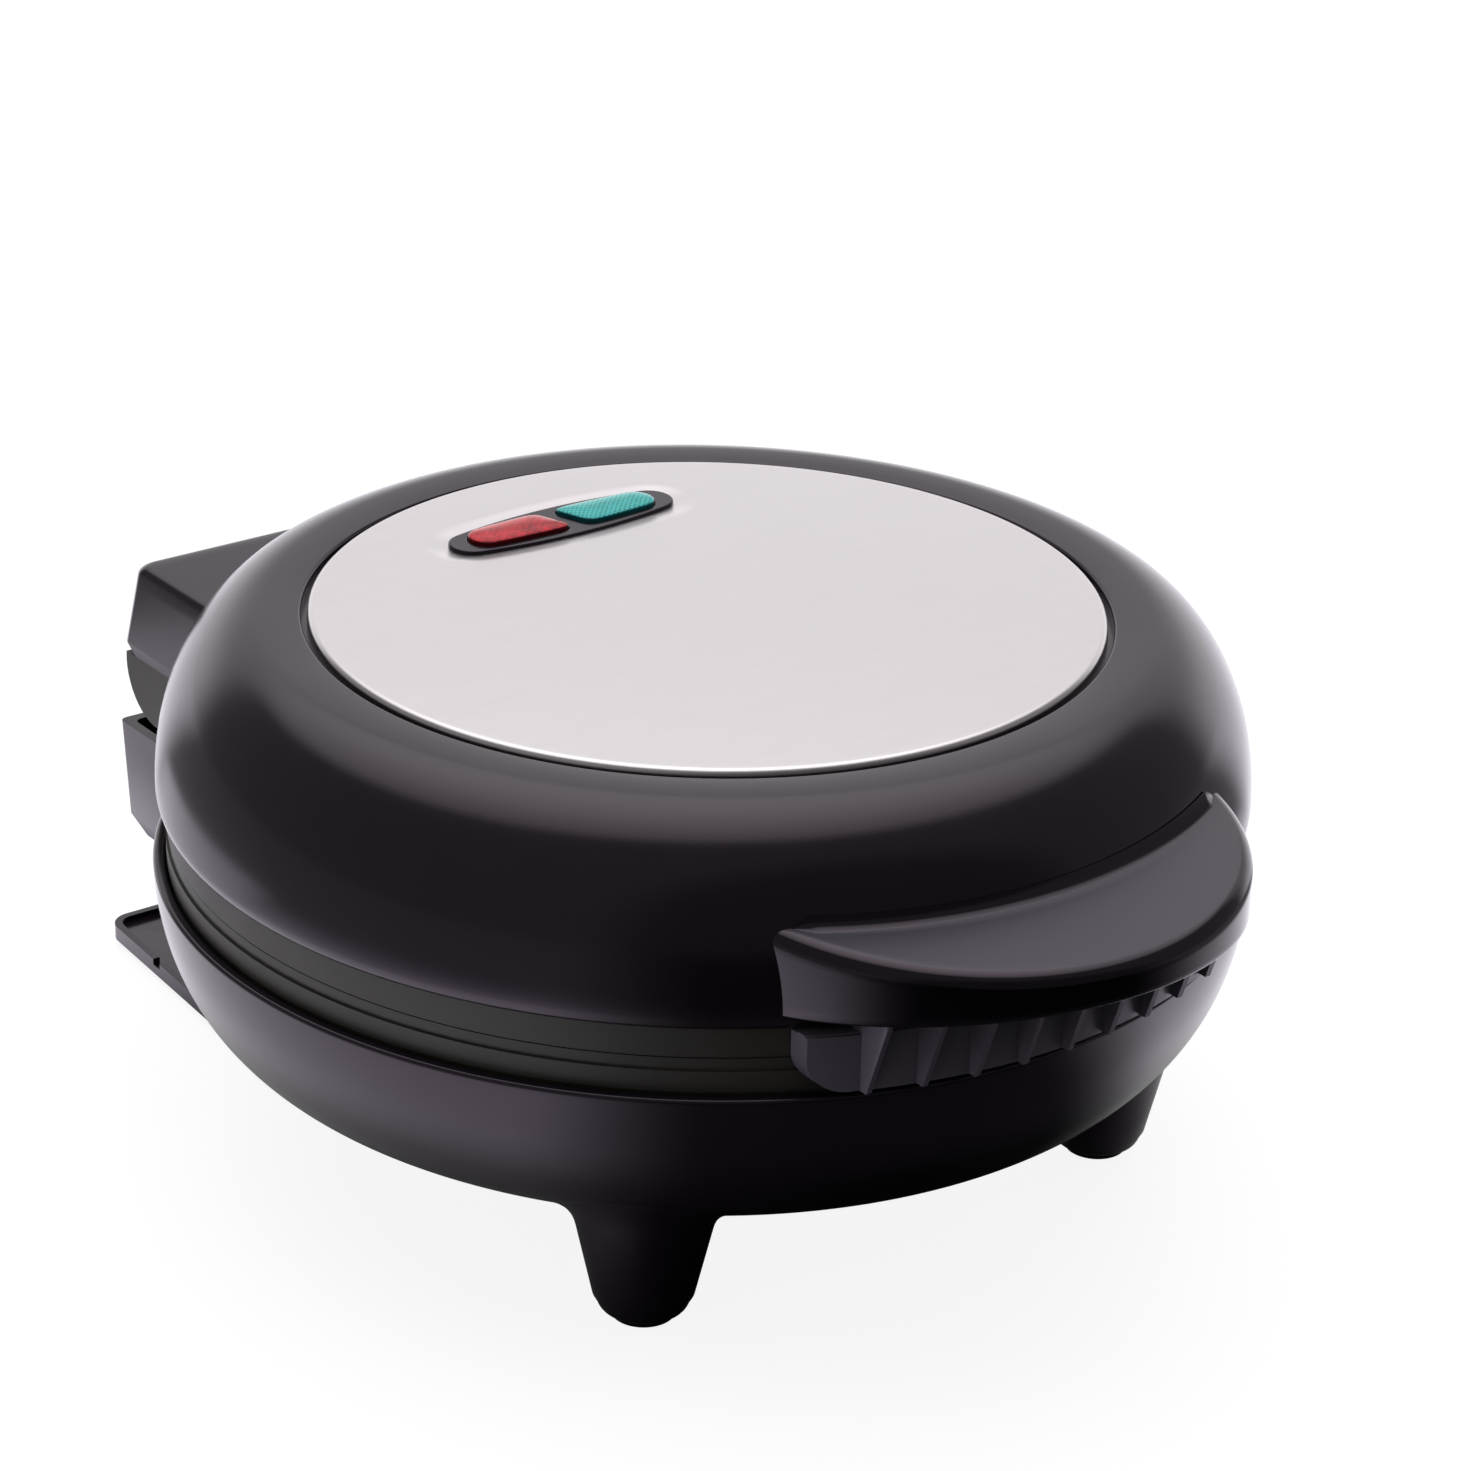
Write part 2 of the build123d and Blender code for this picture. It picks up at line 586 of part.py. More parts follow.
with BuildPart() as stand_pads:
    with BuildSketch():
        with Locations(*[(x, STAND_PAD_Y) for x in sides(STAND_PAD_X)]):
            Circle(PAD_R)
    extrude(amount=STAND_UNDER_Z)
    fillet(stand_pads.faces().filter_by(Axis.Z).group_by(Axis.Z)[0].edges(), PAD_ROUND)
    with BuildSketch(Plane.XY.offset(STAND_UNDER_Z)):
        with Locations(*[(x, STAND_PAD_Y) for x in sides(STAND_PAD_X)]):
            Circle(PAD_PEG_R)
    extrude(amount=PAD_PEG_H)
save(stand_pads, "stand_pads")


def stand_outline(inset):
    """Outline of the rear stand, a little wider at its front, drawn in by inset."""
    front_y = STAND_REAR_Y - STAND_LENGTH
    front_half_w = STAND_HALF_W + STAND_FLARE
    with BuildSketch() as outline:
        with BuildLine():
            Polyline(
                (-STAND_HALF_W + inset, STAND_REAR_Y - inset),
                (STAND_HALF_W - inset, STAND_REAR_Y - inset),
                (front_half_w - inset, front_y + inset),
                (-front_half_w + inset, front_y + inset),
                close=True,
            )
        make_face()
        fillet(outline.vertices(), STAND_CORNER_R - inset)
    return outline.sketch


# Rear stand that the cord winds round, a tray with a low rim
with BuildPart() as cord_wrap_plate:
    with BuildSketch(Plane.XY.offset(STAND_UNDER_Z)):
        add(stand_outline(0))
    extrude(amount=STAND_T)
    with BuildSketch(Plane.XY.offset(STAND_TOP_Z)):
        add(stand_outline(0))
        add(stand_outline(STAND_RIM_W), mode=Mode.SUBTRACT)
        with Locations((0, STAND_NOTCH_Y)):
            Rectangle(4 * STAND_HALF_W, STAND_NOTCH_W, mode=Mode.SUBTRACT)
    extrude(amount=STAND_RIM_H)
    with Locations(*[(x, STAND_SCREW_Y, STAND_UNDER_Z) for x in sides(STAND_SCREW_X)]):
        add(flat_screw_hole(STAND_T), mode=Mode.SUBTRACT)
    with BuildSketch(Plane.XY.offset(STAND_UNDER_Z)):
        with Locations(*[(x, STAND_PAD_Y) for x in sides(STAND_PAD_X)]):
            Circle(PAD_PEG_R)
    extrude(amount=STAND_T, mode=Mode.SUBTRACT)
save(cord_wrap_plate, "cord_wrap_plate")

with BuildPart() as cord_wrap_screws:
    with Locations(*[(x, STAND_SCREW_Y, STAND_UNDER_Z) for x in sides(STAND_SCREW_X)]):
        add(flat_screw(STAND_SCREW_GRIP))
save(cord_wrap_screws, "cord_wrap_screws")

# Bush that the supply cord enters by, at the back of the neck
with BuildPart() as cord_inlet_bush:
    with BuildSketch(Plane.XY) as bush_section:
        with BuildLine():
            Polyline(
                (INLET_BORE_R, -SHELL_WALL - INLET_FLANGE_T),
                (INLET_BUSH_R, -SHELL_WALL - INLET_FLANGE_T),
                (INLET_BUSH_R, 0),
                (INLET_FLANGE_R, 0),
                (INLET_FLANGE_R, INLET_FLANGE_T),
                (INLET_BUSH_R, INLET_FLANGE_T),
                (INLET_BUSH_R - INLET_FLANGE_T / 2, INLET_NOSE),
                (INLET_BORE_R, INLET_NOSE),
                close=True,
            )
        make_face()
    revolve(axis=Axis.Y)
cord_inlet_bush.part = Pos(0, PEDESTAL_REAR_Y, INLET_Z) * cord_inlet_bush.part
save(cord_inlet_bush, "cord_inlet_bush")

# Three-way terminal block on the floor of the base
with BuildPart() as terminal_block:
    with BuildSketch(Plane.XY.offset(FLOOR_IN_Z)):
        with Locations((0, BLOCK_Y)):
            RectangleRounded(BLOCK_L, BLOCK_W, BLOCK_WIRE_R)
    extrude(amount=BLOCK_H)
    with Locations((0, BLOCK_Y, FLOOR_IN_Z + BLOCK_H / 2)):
        with GridLocations(BLOCK_L / BLOCK_WAYS, 0, BLOCK_WAYS, 1):
            Cylinder(BLOCK_WIRE_R, BLOCK_W, rotation=(90, 0, 0), mode=Mode.SUBTRACT)
    with Locations((0, BLOCK_Y, FLOOR_IN_Z + BLOCK_H)):
        with GridLocations(BLOCK_L / BLOCK_WAYS, BLOCK_W / 2, BLOCK_WAYS, 2):
            Cylinder(BLOCK_WIRE_R, BLOCK_H / 4, mode=Mode.SUBTRACT)
save(terminal_block, "terminal_block")


def ring_section(face_z, up, face_r, band_r, step, band_h, skirt_r):
    """Half section of a band: face, stepped outside, skirt and ledge; up is 1 or -1."""
    ledge = PLATE_RIM_T + RING_LEDGE_T
    skirt_end = ledge + RING_SKIRT_H
    with BuildSketch(Plane.XZ) as section:
        with BuildLine():
            Polyline(
                (SEAT_R, face_z),
                (face_r, face_z),
                (face_r, face_z + up * step),
                (band_r, face_z + up * step),
                (band_r, face_z + up * band_h),
                (skirt_r, face_z + up * band_h),
                (skirt_r, face_z + up * skirt_end),
                (skirt_r - RING_SKIRT_T, face_z + up * skirt_end),
                (skirt_r - RING_SKIRT_T, face_z + up * ledge),
                (LEDGE_R, face_z + up * ledge),
                (LEDGE_R, face_z + up * PLATE_RIM_T),
                (SEAT_R, face_z + up * PLATE_RIM_T),
                close=True,
            )
        make_face()
    return section.sketch


def hinge_bar(radius, x_from, x_to):
    """Round bar on the hinge axis, on both sides of the middle."""
    with BuildPart() as bar:
        with BuildSketch(HINGE_PLANE.offset(x_from)):
            Circle(radius)
        extrude(amount=x_to - x_from)
        mirror(about=Plane.YZ)
    return bar.part


def hinge_arms(x_from, x_to, reach, back, low, high):
    """Arms from a band to the hinge axis, measured from that axis, on both sides."""
    with BuildPart() as arms:
        with BuildSketch(HINGE_PLANE.offset(x_from)):
            with BuildLine():
                Polyline((-reach, low), (-back, low), (-back, high), (-reach, high), close=True)
            make_face()
        extrude(amount=x_to - x_from)
        mirror(about=Plane.YZ)
    return arms.part


LEDGE_D = PLATE_RIM_T + RING_LEDGE_T
SKIRT_D = LEDGE_D + RING_SKIRT_H
SWEEP_BACK_Y = HINGE_Y - KNUCKLE_ARM_BACK

# Lower band: seat of the lower cooking plate and the two hinge knuckles
with BuildPart() as lower_frame_ring:
    add(
        hinge_arms(
            KNUCKLE_IN_X, KNUCKLE_OUT_X, KNUCKLE_ARM_REACH, KNUCKLE_ARM_BACK,
            BRACKET_TOP_Z + SWING_GAP - HINGE_Z, LOWER_FACE_Z - HINGE_Z,
        )
    )
    with Locations((0, 0, LOWER_FACE_Z)):
        Cylinder(
            SEAT_R, BODY_R, align=(Align.CENTER, Align.CENTER, Align.MAX), mode=Mode.SUBTRACT
        )
    with BuildSketch(Plane.XZ):
        add(
            ring_section(
                LOWER_FACE_Z, -1, BAND_R - BAND_STEP, BAND_R, BAND_STEP_H,
                LOWER_BAND_H - SHADOW_GAP, BODY_R - SHELL_WALL - SKIRT_GAP,
            )
        )
    revolve(axis=Axis.Z)
    with BuildSketch(Plane.XY.offset(LOWER_FACE_Z - SKIRT_D)):
        with Locations((0, SWEEP_BACK_Y + BODY_R / 2)):
            Rectangle(2 * HINGE_HALF_W, BODY_R)
    extrude(amount=SKIRT_D, mode=Mode.SUBTRACT)
    add(hinge_bar(KNUCKLE_R, KNUCKLE_IN_X, KNUCKLE_OUT_X))
    add(hinge_bar(BARREL_R + SWING_GAP, KNUCKLE_OUT_X, HINGE_HALF_W + SWING_GAP), mode=Mode.SUBTRACT)
    add(hinge_bar(PIN_R, KNUCKLE_IN_X, KNUCKLE_OUT_X), mode=Mode.SUBTRACT)
    with Locations(*[(x, y, LOWER_FACE_Z) for x, y in around(RING_SCREW_R, RING_SCREW_ANGLES)]):
        add(Rot(180, 0, 0) * flat_screw_hole(LEDGE_D), mode=Mode.SUBTRACT)
    add(
        columns(
            SCREW_BOSS_R + FIT_GAP, RING_SCREW_R, RING_SCREW_ANGLES,
            LOWER_FACE_Z - SKIRT_D, LEDGE_UNDER_Z,
        ),
        mode=Mode.SUBTRACT,
    )
    add(
        columns(SCREW_R, PLATE_SCREW_R, PLATE_SCREW_ANGLES, LEDGE_UNDER_Z, LEDGE_Z),
        mode=Mode.SUBTRACT,
    )
save(lower_frame_ring, "lower_frame_ring")

# Upper band: seat of the upper cooking plate and the two hinge barrels
with BuildPart() as upper_frame_ring:
    add(
        hinge_arms(
            BARREL_IN_X, HINGE_HALF_W, RING_ARM_REACH, 0,
            UPPER_FACE_Z - HINGE_Z, RING_ARM_RISE,
        )
    )
    with Locations((0, 0, UPPER_FACE_Z)):
        Cylinder(
            SEAT_R, BODY_R, align=(Align.CENTER, Align.CENTER, Align.MIN), mode=Mode.SUBTRACT
        )
    with BuildSketch(Plane.XZ):
        add(
            ring_section(
                UPPER_FACE_Z, 1, UPPER_BAND_R - BAND_STEP / 2, UPPER_BAND_R, BAND_STEP,
                UPPER_BAND_H, LID_EDGE_R - SHELL_WALL - FIT_GAP,
            )
        )
    revolve(axis=Axis.Z)
    add(
        hinge_bar(KNUCKLE_R + SWING_GAP, KNUCKLE_IN_X - PIN_HEAD_T - 2 * HINGE_END_GAP, BARREL_IN_X),
        mode=Mode.SUBTRACT,
    )
    add(hinge_bar(BARREL_R, BARREL_IN_X, HINGE_HALF_W))
    add(
        hinge_bar(PIN_R + PIN_RUN_GAP, BARREL_IN_X, HINGE_HALF_W - BARREL_END_T),
        mode=Mode.SUBTRACT,
    )
    with BuildSketch(Plane.XY.offset(LID_EDGE_Z)):
        for x in sides(HINGE_HALF_W - SHELL_WALL - FIT_GAP + BARREL_W / 2):
            with Locations((x, HINGE_Y)):
                Rectangle(BARREL_W, 2 * (HINGE_Y - COVER_FRONT_Y))
    extrude(amount=BARREL_R, mode=Mode.SUBTRACT)
    with Locations(*[(x, y, UPPER_FACE_Z) for x, y in around(RING_SCREW_R, RING_SCREW_ANGLES)]):
        add(flat_screw_hole(LEDGE_D), mode=Mode.SUBTRACT)
    add(
        columns(
            SCREW_BOSS_R + FIT_GAP, RING_SCREW_R, RING_SCREW_ANGLES,
            upper(LEDGE_UNDER_Z), UPPER_FACE_Z + SKIRT_D,
        ),
        mode=Mode.SUBTRACT,
    )
    add(
        columns(
            SCREW_R, PLATE_SCREW_R, PLATE_SCREW_ANGLES, upper(LEDGE_Z), upper(LEDGE_UNDER_Z)
        ),
        mode=Mode.SUBTRACT,
    )
save(upper_frame_ring, "upper_frame_ring")

with BuildPart() as lower_frame_screws:
    with Locations(*[(x, y, LOWER_FACE_Z) for x, y in around(RING_SCREW_R, RING_SCREW_ANGLES)]):
        add(Rot(180, 0, 0) * flat_screw(LEDGE_D + RING_SCREW_GRIP))
save(lower_frame_screws, "lower_frame_screws")

with BuildPart() as upper_frame_screws:
    with Locations(*[(x, y, UPPER_FACE_Z) for x, y in around(RING_SCREW_R, RING_SCREW_ANGLES)]):
        add(flat_screw(LEDGE_D + RING_SCREW_GRIP))
save(upper_frame_screws, "upper_frame_screws")

# Pins pressed into the knuckles, on which the lid's barrels turn
with BuildPart() as hinge_pins:
    add(hinge_bar(PIN_R, KNUCKLE_IN_X, HINGE_HALF_W - BARREL_END_T - HINGE_END_GAP))
    add(hinge_bar(PIN_HEAD_R, KNUCKLE_IN_X - PIN_HEAD_T, KNUCKLE_IN_X))
save(hinge_pins, "hinge_pins")


def half_moon(inset):
    """Outline of the right-hand pocket at the plate's face, drawn in by inset."""
    straight_x = DIVIDER_W / 2 + inset
    with BuildSketch(Plane.XY.offset(LOWER_FACE_Z)) as outline:
        Circle(POCKET_R - inset)
        with Locations((straight_x + BODY_R, 0)):
            Rectangle(2 * BODY_R, 2 * BODY_R, mode=Mode.INTERSECT)
        fillet(outline.vertices(), POCKET_CORNER_R - inset)
    return outline.sketch


def pocket(inset, depth, floor_r):
    """One half-moon pocket, or with a negative inset its outer form."""
    with BuildPart() as moon:
        add(half_moon(inset))
        extrude(amount=-depth, taper=POCKET_DRAFT)
        fillet(moon.faces().sort_by(Axis.Z)[0].edges(), floor_r)
    return moon.part


# Lower cooking plate with its two half-moon pockets
with BuildPart() as lower_cooking_plate:
    with BuildSketch(Plane.XY.offset(LEDGE_Z)):
        Circle(PLATE_R)
    extrude(amount=PLATE_RIM_T)
    for turn in (0, 180):
        outside = pocket(-PLATE_WALL, POCKET_DEPTH + PLATE_WALL, POCKET_FLOOR_R + PLATE_WALL)
        add(Rot(0, 0, turn) * outside)
    with BuildSketch(Plane.XY.offset(CLAMP_Z)):
        with Locations(*[(0, y) for y in sides(PLATE_BOSS_Y)]):
            Circle(PLATE_BOSS_R)
    extrude(amount=LEDGE_Z - CLAMP_Z)
    for turn in (0, 180):
        add(Rot(0, 0, turn) * pocket(0, POCKET_DEPTH, POCKET_FLOOR_R), mode=Mode.SUBTRACT)
    with BuildSketch(Plane.XY.offset(CLAMP_Z)):
        with Locations(*[(0, y) for y in sides(PLATE_BOSS_Y)]):
            Circle(SCREW_R)
    extrude(amount=CLAMP_SCREW_GRIP, mode=Mode.SUBTRACT)
    add(
        columns(
            SCREW_R, PLATE_SCREW_R, PLATE_SCREW_ANGLES, LEDGE_Z, LEDGE_Z + PLATE_SCREW_GRIP
        ),
        mode=Mode.SUBTRACT,
    )
save(lower_cooking_plate, "lower_cooking_plate")

# Sheathed heating rod, one open loop with both tails and cold pins to the rear
with BuildPart() as lower_heating_element:
    with BuildLine(Plane.XY.offset(ELEMENT_Z)) as rod_path:
        loop = CenterArc((0, 0), ELEMENT_LOOP_R, 90 + ELEMENT_GAP_ANGLE / 2, 360 - ELEMENT_GAP_ANGLE)
        bend = JernArc(loop @ 1, loop % 1, ELEMENT_TAIL_BEND, ELEMENT_GAP_ANGLE / 2 - 90)
        tail = Line(bend @ 1, bend @ 1 + Vector(0, ELEMENT_TAIL, 0))
        mirror(bend, about=Plane.YZ)
        mirror(tail, about=Plane.YZ)
    with BuildSketch(Plane(origin=tail @ 1, z_dir=tail % 1)):
        Circle(ELEMENT_R)
    sweep(path=rod_path.wires()[0])
    with BuildSketch(Plane(origin=tail @ 1, z_dir=tail % 1)):
        Circle(COLD_PIN_R)
    extrude(amount=COLD_PIN_L)
    mirror(about=Plane.YZ)
save(lower_heating_element, "lower_heating_element")

# Two straps that hold the rod against the plate, with their screws
with BuildPart() as lower_element_clamps:
    with BuildSketch(Plane.XY.offset(CLAMP_Z)):
        with Locations(*[(0, y) for y in sides(PLATE_BOSS_Y)]):
            SlotOverall(2 * CLAMP_X, CLAMP_W)
            Circle(SCREW_R, mode=Mode.SUBTRACT)
    extrude(amount=-CLAMP_T)
save(lower_element_clamps, "lower_element_clamps")

with BuildPart() as lower_clamp_screws:
    with Locations(*[(0, y, CLAMP_Z - CLAMP_T) for y in sides(PLATE_BOSS_Y)]):
        add(pan_screw(CLAMP_T + CLAMP_SCREW_GRIP))
save(lower_clamp_screws, "lower_clamp_screws")

with BuildPart() as lower_plate_screws:
    places = around(PLATE_SCREW_R, PLATE_SCREW_ANGLES)
    with Locations(*[(x, y, LEDGE_UNDER_Z - SHIELD_T) for x, y in places]):
        add(pan_screw(SHIELD_T + RING_LEDGE_T + PLATE_SCREW_GRIP))
save(lower_plate_screws, "lower_plate_screws")

# Pressed heat shield under the rod, its flange held by the plate screws
SHIELD_TOP_R = POCKET_R + PLATE_WALL - LEDGE_D * tan(radians(POCKET_DRAFT)) + SHIELD_WALL_GAP
SHIELD_DEPTH = LEDGE_UNDER_Z - SHIELD_Z
SHIELD_FLOOR_R = SHIELD_TOP_R - SHIELD_DEPTH * tan(radians(SHIELD_SLOPE))
SHIELD_FLANGE_R = PLATE_SCREW_R + SCREW_HEAD_R - SHIELD_T
with BuildPart() as lower_heat_shield:
    with BuildSketch(Plane.XZ) as shield_section:
        with BuildLine():
            Polyline(
                (0, SHIELD_Z),
                (SHIELD_FLOOR_R, SHIELD_Z),
                (SHIELD_TOP_R, LEDGE_UNDER_Z),
                (SHIELD_FLANGE_R, LEDGE_UNDER_Z),
                (SHIELD_FLANGE_R, LEDGE_UNDER_Z - SHIELD_T),
                (SHIELD_TOP_R + SHIELD_T, LEDGE_UNDER_Z - SHIELD_T),
                (SHIELD_FLOOR_R + SHIELD_T, SHIELD_Z - SHIELD_T),
                (0, SHIELD_Z - SHIELD_T),
                close=True,
            )
        make_face()
    revolve(axis=Axis.Z)
    add(
        columns(
            SCREW_R, PLATE_SCREW_R, PLATE_SCREW_ANGLES, LEDGE_UNDER_Z - SHIELD_T, LEDGE_UNDER_Z
        ),
        mode=Mode.SUBTRACT,
    )
save(lower_heat_shield, "lower_heat_shield")

# The lid's plate, rod, straps, screws and shield face those of the base
for lower_piece, name in (
    (lower_cooking_plate, "upper_cooking_plate"),
    (lower_heating_element, "upper_heating_element"),
    (lower_element_clamps, "upper_element_clamps"),
    (lower_clamp_screws, "upper_clamp_screws"),
    (lower_plate_screws, "upper_plate_screws"),
    (lower_heat_shield, "upper_heat_shield"),
):
    with BuildPart() as upper_piece:
        add(mirror(lower_piece.part, about=Plane.XY.offset(PARTING_Z)))
    save(upper_piece, name)

# Thermostat between the rod's straps, with two blade terminals
PLATE_BACK_Z = upper(PLATE_UNDER_Z)
with BuildPart() as thermostat:
    with BuildSketch(Plane.XY.offset(PLATE_BACK_Z)):
        with Locations((THERMOSTAT_X, 0)):
            Circle(THERMOSTAT_FLANGE_R)
    extrude(amount=THERMOSTAT_FLANGE_T)
    with BuildSketch(Plane.XY.offset(PLATE_BACK_Z)):
        with Locations((THERMOSTAT_X, 0)):
            Circle(THERMOSTAT_R)
    extrude(amount=THERMOSTAT_H)
    with BuildSketch(Plane.XY.offset(PLATE_BACK_Z + THERMOSTAT_H)):
        with Locations((THERMOSTAT_X, 0)):
            with GridLocations(0, THERMOSTAT_R, 1, 2):
                Rectangle(BLADE_W, BLADE_T)
    extrude(amount=BLADE_H)
save(thermostat, "thermostat")

with BuildPart() as thermal_fuse:
    with Locations((-THERMOSTAT_X, 0, PLATE_BACK_Z + FUSE_R)):
        Cylinder(FUSE_R, FUSE_L, rotation=(90, 0, 0))
        Cylinder(FUSE_LEAD_R, FUSE_L + 2 * FUSE_LEAD_L, rotation=(90, 0, 0))
save(thermal_fuse, "thermal_fuse")


def cover_block(inset):
    """Hinge cover behind the dome, or with an inset the space in it."""
    lip_z = HINGE_Z + COVER_LOW_RISE
    with BuildPart() as block:
        with BuildSketch(across(0)):
            with BuildLine():
                Polyline(
                    (COVER_FRONT_Y, LID_EDGE_Z),
                    (HINGE_Y + COVER_LOW_REACH - COVER_LIP - inset, LID_EDGE_Z),
                    (HINGE_Y + COVER_LOW_REACH - inset, lip_z),
                    (HINGE_Y + COVER_TOP_REACH - inset, COVER_TOP_Z - inset),
                    (COVER_FRONT_Y, COVER_TOP_Z - inset),
                    close=True,
                )
            make_face()
        extrude(amount=HINGE_HALF_W - inset, both=True)
        wall_middle = (0, HINGE_Y + COVER_LOW_REACH, (LID_EDGE_Z + COVER_TOP_Z) / 2)
        rear_wall = block.faces().sort_by_distance(wall_middle)[0]
        fillet(rear_wall.edges().filter_by(Axis.X, reverse=True), COVER_CORNER_R - inset / 2)
    return block.part


# Lid housing: dome with a seat for the disc, and the hinge cover at its rear
with BuildPart() as lid_cavity:
    with BuildSketch(Plane.XZ):
        add(dome_outline(SHELL_WALL))
    revolve(axis=Axis.Z)
    with BuildSketch(Plane.XY.offset(DISC_SEAT_Z - SHELL_WALL)):
        Circle(BODY_R)
    extrude(amount=LID_RISE, mode=Mode.SUBTRACT)
    add(
        columns(SCREW_BOSS_R, RING_SCREW_R, RING_SCREW_ANGLES, upper(LEDGE_UNDER_Z), DECK_Z),
        mode=Mode.SUBTRACT,
    )

with BuildPart() as lid_housing:
    add(cover_block(0))
    cover_top = lid_housing.faces().sort_by(Axis.Z)[-1]
    fillet(cover_top.edges().sort_by(Axis.Y)[1:], COVER_EDGE_R)
    add(dome_solid())
    add(cover_block(SHELL_WALL), mode=Mode.SUBTRACT)
    add(lid_cavity.part, mode=Mode.SUBTRACT)
    with BuildSketch(Plane.XY.offset(DISC_SEAT_Z)):
        Circle(DISC_R + DISC_GROOVE_W)
    extrude(amount=LID_RISE, mode=Mode.SUBTRACT)
    add(
        oval_block(
            BEZEL_L - 2 * BEZEL_LIP, BEZEL_W - 2 * BEZEL_LIP,
            DISC_SEAT_Z - SHELL_WALL, DECK_Z, LENS_END_SHARE,
        ),
        mode=Mode.SUBTRACT,
    )
    add(hinge_bar(BARREL_R + FIT_GAP, BARREL_IN_X - FIT_GAP, HINGE_HALF_W - SHELL_WALL), mode=Mode.SUBTRACT)
    add(
        columns(
            SCREW_R, RING_SCREW_R, RING_SCREW_ANGLES,
            upper(LEDGE_UNDER_Z), upper(LEDGE_UNDER_Z) + RING_SCREW_GRIP,
        ),
        mode=Mode.SUBTRACT,
    )
    with BuildSketch(Plane.XZ):
        with Locations(*[(x, HANDLE_SCREW_Z) for x in sides(HANDLE_SCREW_X)]):
            Circle(SCREW_R)
    extrude(amount=BODY_R, mode=Mode.SUBTRACT)
save(lid_housing, "lid_housing")


def top_circle(piece):
    """The highest of a round piece's largest circular edges."""
    return piece.edges().group_by(SortBy.LENGTH)[-1].sort_by(Axis.Z)[-1]


def disc_section(inset):
    """Half section of the disc's outside, or with an inset its inside, down to the seat."""
    with BuildSketch(Plane.XZ) as section:
        with BuildLine():
            crown = ThreePointArc(
                (0, DISC_EDGE_Z + DISC_CROWN - inset),
                (DISC_R / 2, DISC_EDGE_Z + DISC_CROWN * 3 / 4 - inset),
                (DISC_R - inset, DISC_EDGE_Z - inset),
            )
            Line(crown @ 1, (DISC_R - inset, DISC_SEAT_Z))
            Line((DISC_R - inset, DISC_SEAT_Z), (0, DISC_SEAT_Z))
            Line((0, DISC_SEAT_Z), crown @ 0)
        make_face()
    return section.sketch


# Steel cover disc: a shallow dome with a rolled edge and a pressed well round the lamps
with BuildPart() as disc_inside:
    with BuildSketch(Plane.XZ):
        add(disc_section(DISC_T))
    revolve(axis=Axis.Z)
    fillet(top_circle(disc_inside), DISC_EDGE_R - DISC_T)
    add(
        oval_block(WELL_L - 2 * DISC_T, WELL_W - 2 * DISC_T, LAMP_TOP_Z - DISC_T, DECK_Z + LID_RISE),
        mode=Mode.SUBTRACT,
    )

with BuildPart() as steel_cover_disc:
    with BuildSketch(Plane.XZ):
        add(disc_section(0))
    revolve(axis=Axis.Z)
    fillet(top_circle(steel_cover_disc), DISC_EDGE_R)
    add(oval_block(WELL_L, WELL_W, LAMP_TOP_Z, DECK_Z + LID_RISE), mode=Mode.SUBTRACT)
    add(disc_inside.part, mode=Mode.SUBTRACT)
    add(
        oval_block(
            BEZEL_L - 2 * BEZEL_LIP, BEZEL_W - 2 * BEZEL_LIP,
            DISC_SEAT_Z, DECK_Z + LID_RISE, LENS_END_SHARE,
        ),
        mode=Mode.SUBTRACT,
    )
save(steel_cover_disc, "steel_cover_disc")


def lens_outline(side, inset):
    """One lens, its inner end straight beside the bridge; side is -1 or 1."""
    length = BEZEL_L - 2 * (LENS_END_MARGIN + inset)
    width = BEZEL_W - 2 * (LENS_SIDE_MARGIN + inset)
    with BuildSketch() as outline:
        with Locations((0, LAMP_Y)):
            add(pointed_oval(length, width, LENS_END_SHARE))
        with Locations((side * (LENS_BRIDGE / 2 + inset + BEZEL_L / 2), LAMP_Y)):
            Rectangle(BEZEL_L, BEZEL_L, mode=Mode.INTERSECT)
    return outline.sketch


# Black bezel round the two lamp lenses
BEZEL_FOOT_Z = DISC_SEAT_Z - SHELL_WALL
with BuildPart() as lamp_bezel:
    add(oval_block(BEZEL_L, BEZEL_W, LAMP_TOP_Z, LAMP_TOP_Z + BEZEL_H))
    fillet(lamp_bezel.faces().sort_by(Axis.Z)[-1].edges(), BEZEL_ROUND)
    add(
        oval_block(
            BEZEL_L - 2 * (BEZEL_LIP + FIT_GAP), BEZEL_W - 2 * (BEZEL_LIP + FIT_GAP),
            BEZEL_FOOT_Z, LAMP_TOP_Z, LENS_END_SHARE,
        )
    )
    with BuildSketch(Plane.XY.offset(BEZEL_FOOT_Z)):
        for side in (-1, 1):
            add(lens_outline(side, 0))
    extrude(amount=LAMP_TOP_Z + BEZEL_H - BEZEL_FOOT_Z, mode=Mode.SUBTRACT)
save(lamp_bezel, "lamp_bezel")

for side, name in ((-1, "red_lens"), (1, "green_lens")):
    with BuildPart() as lens:
        with BuildSketch(Plane.XY.offset(LAMP_TOP_Z + BEZEL_H + LENS_DOME - LENS_T)):
            add(lens_outline(side, LENS_FIT))
        extrude(amount=LENS_T)
        fillet(lens.faces().sort_by(Axis.Z)[-1].edges(), LENS_DOME)
    save(lens, name)

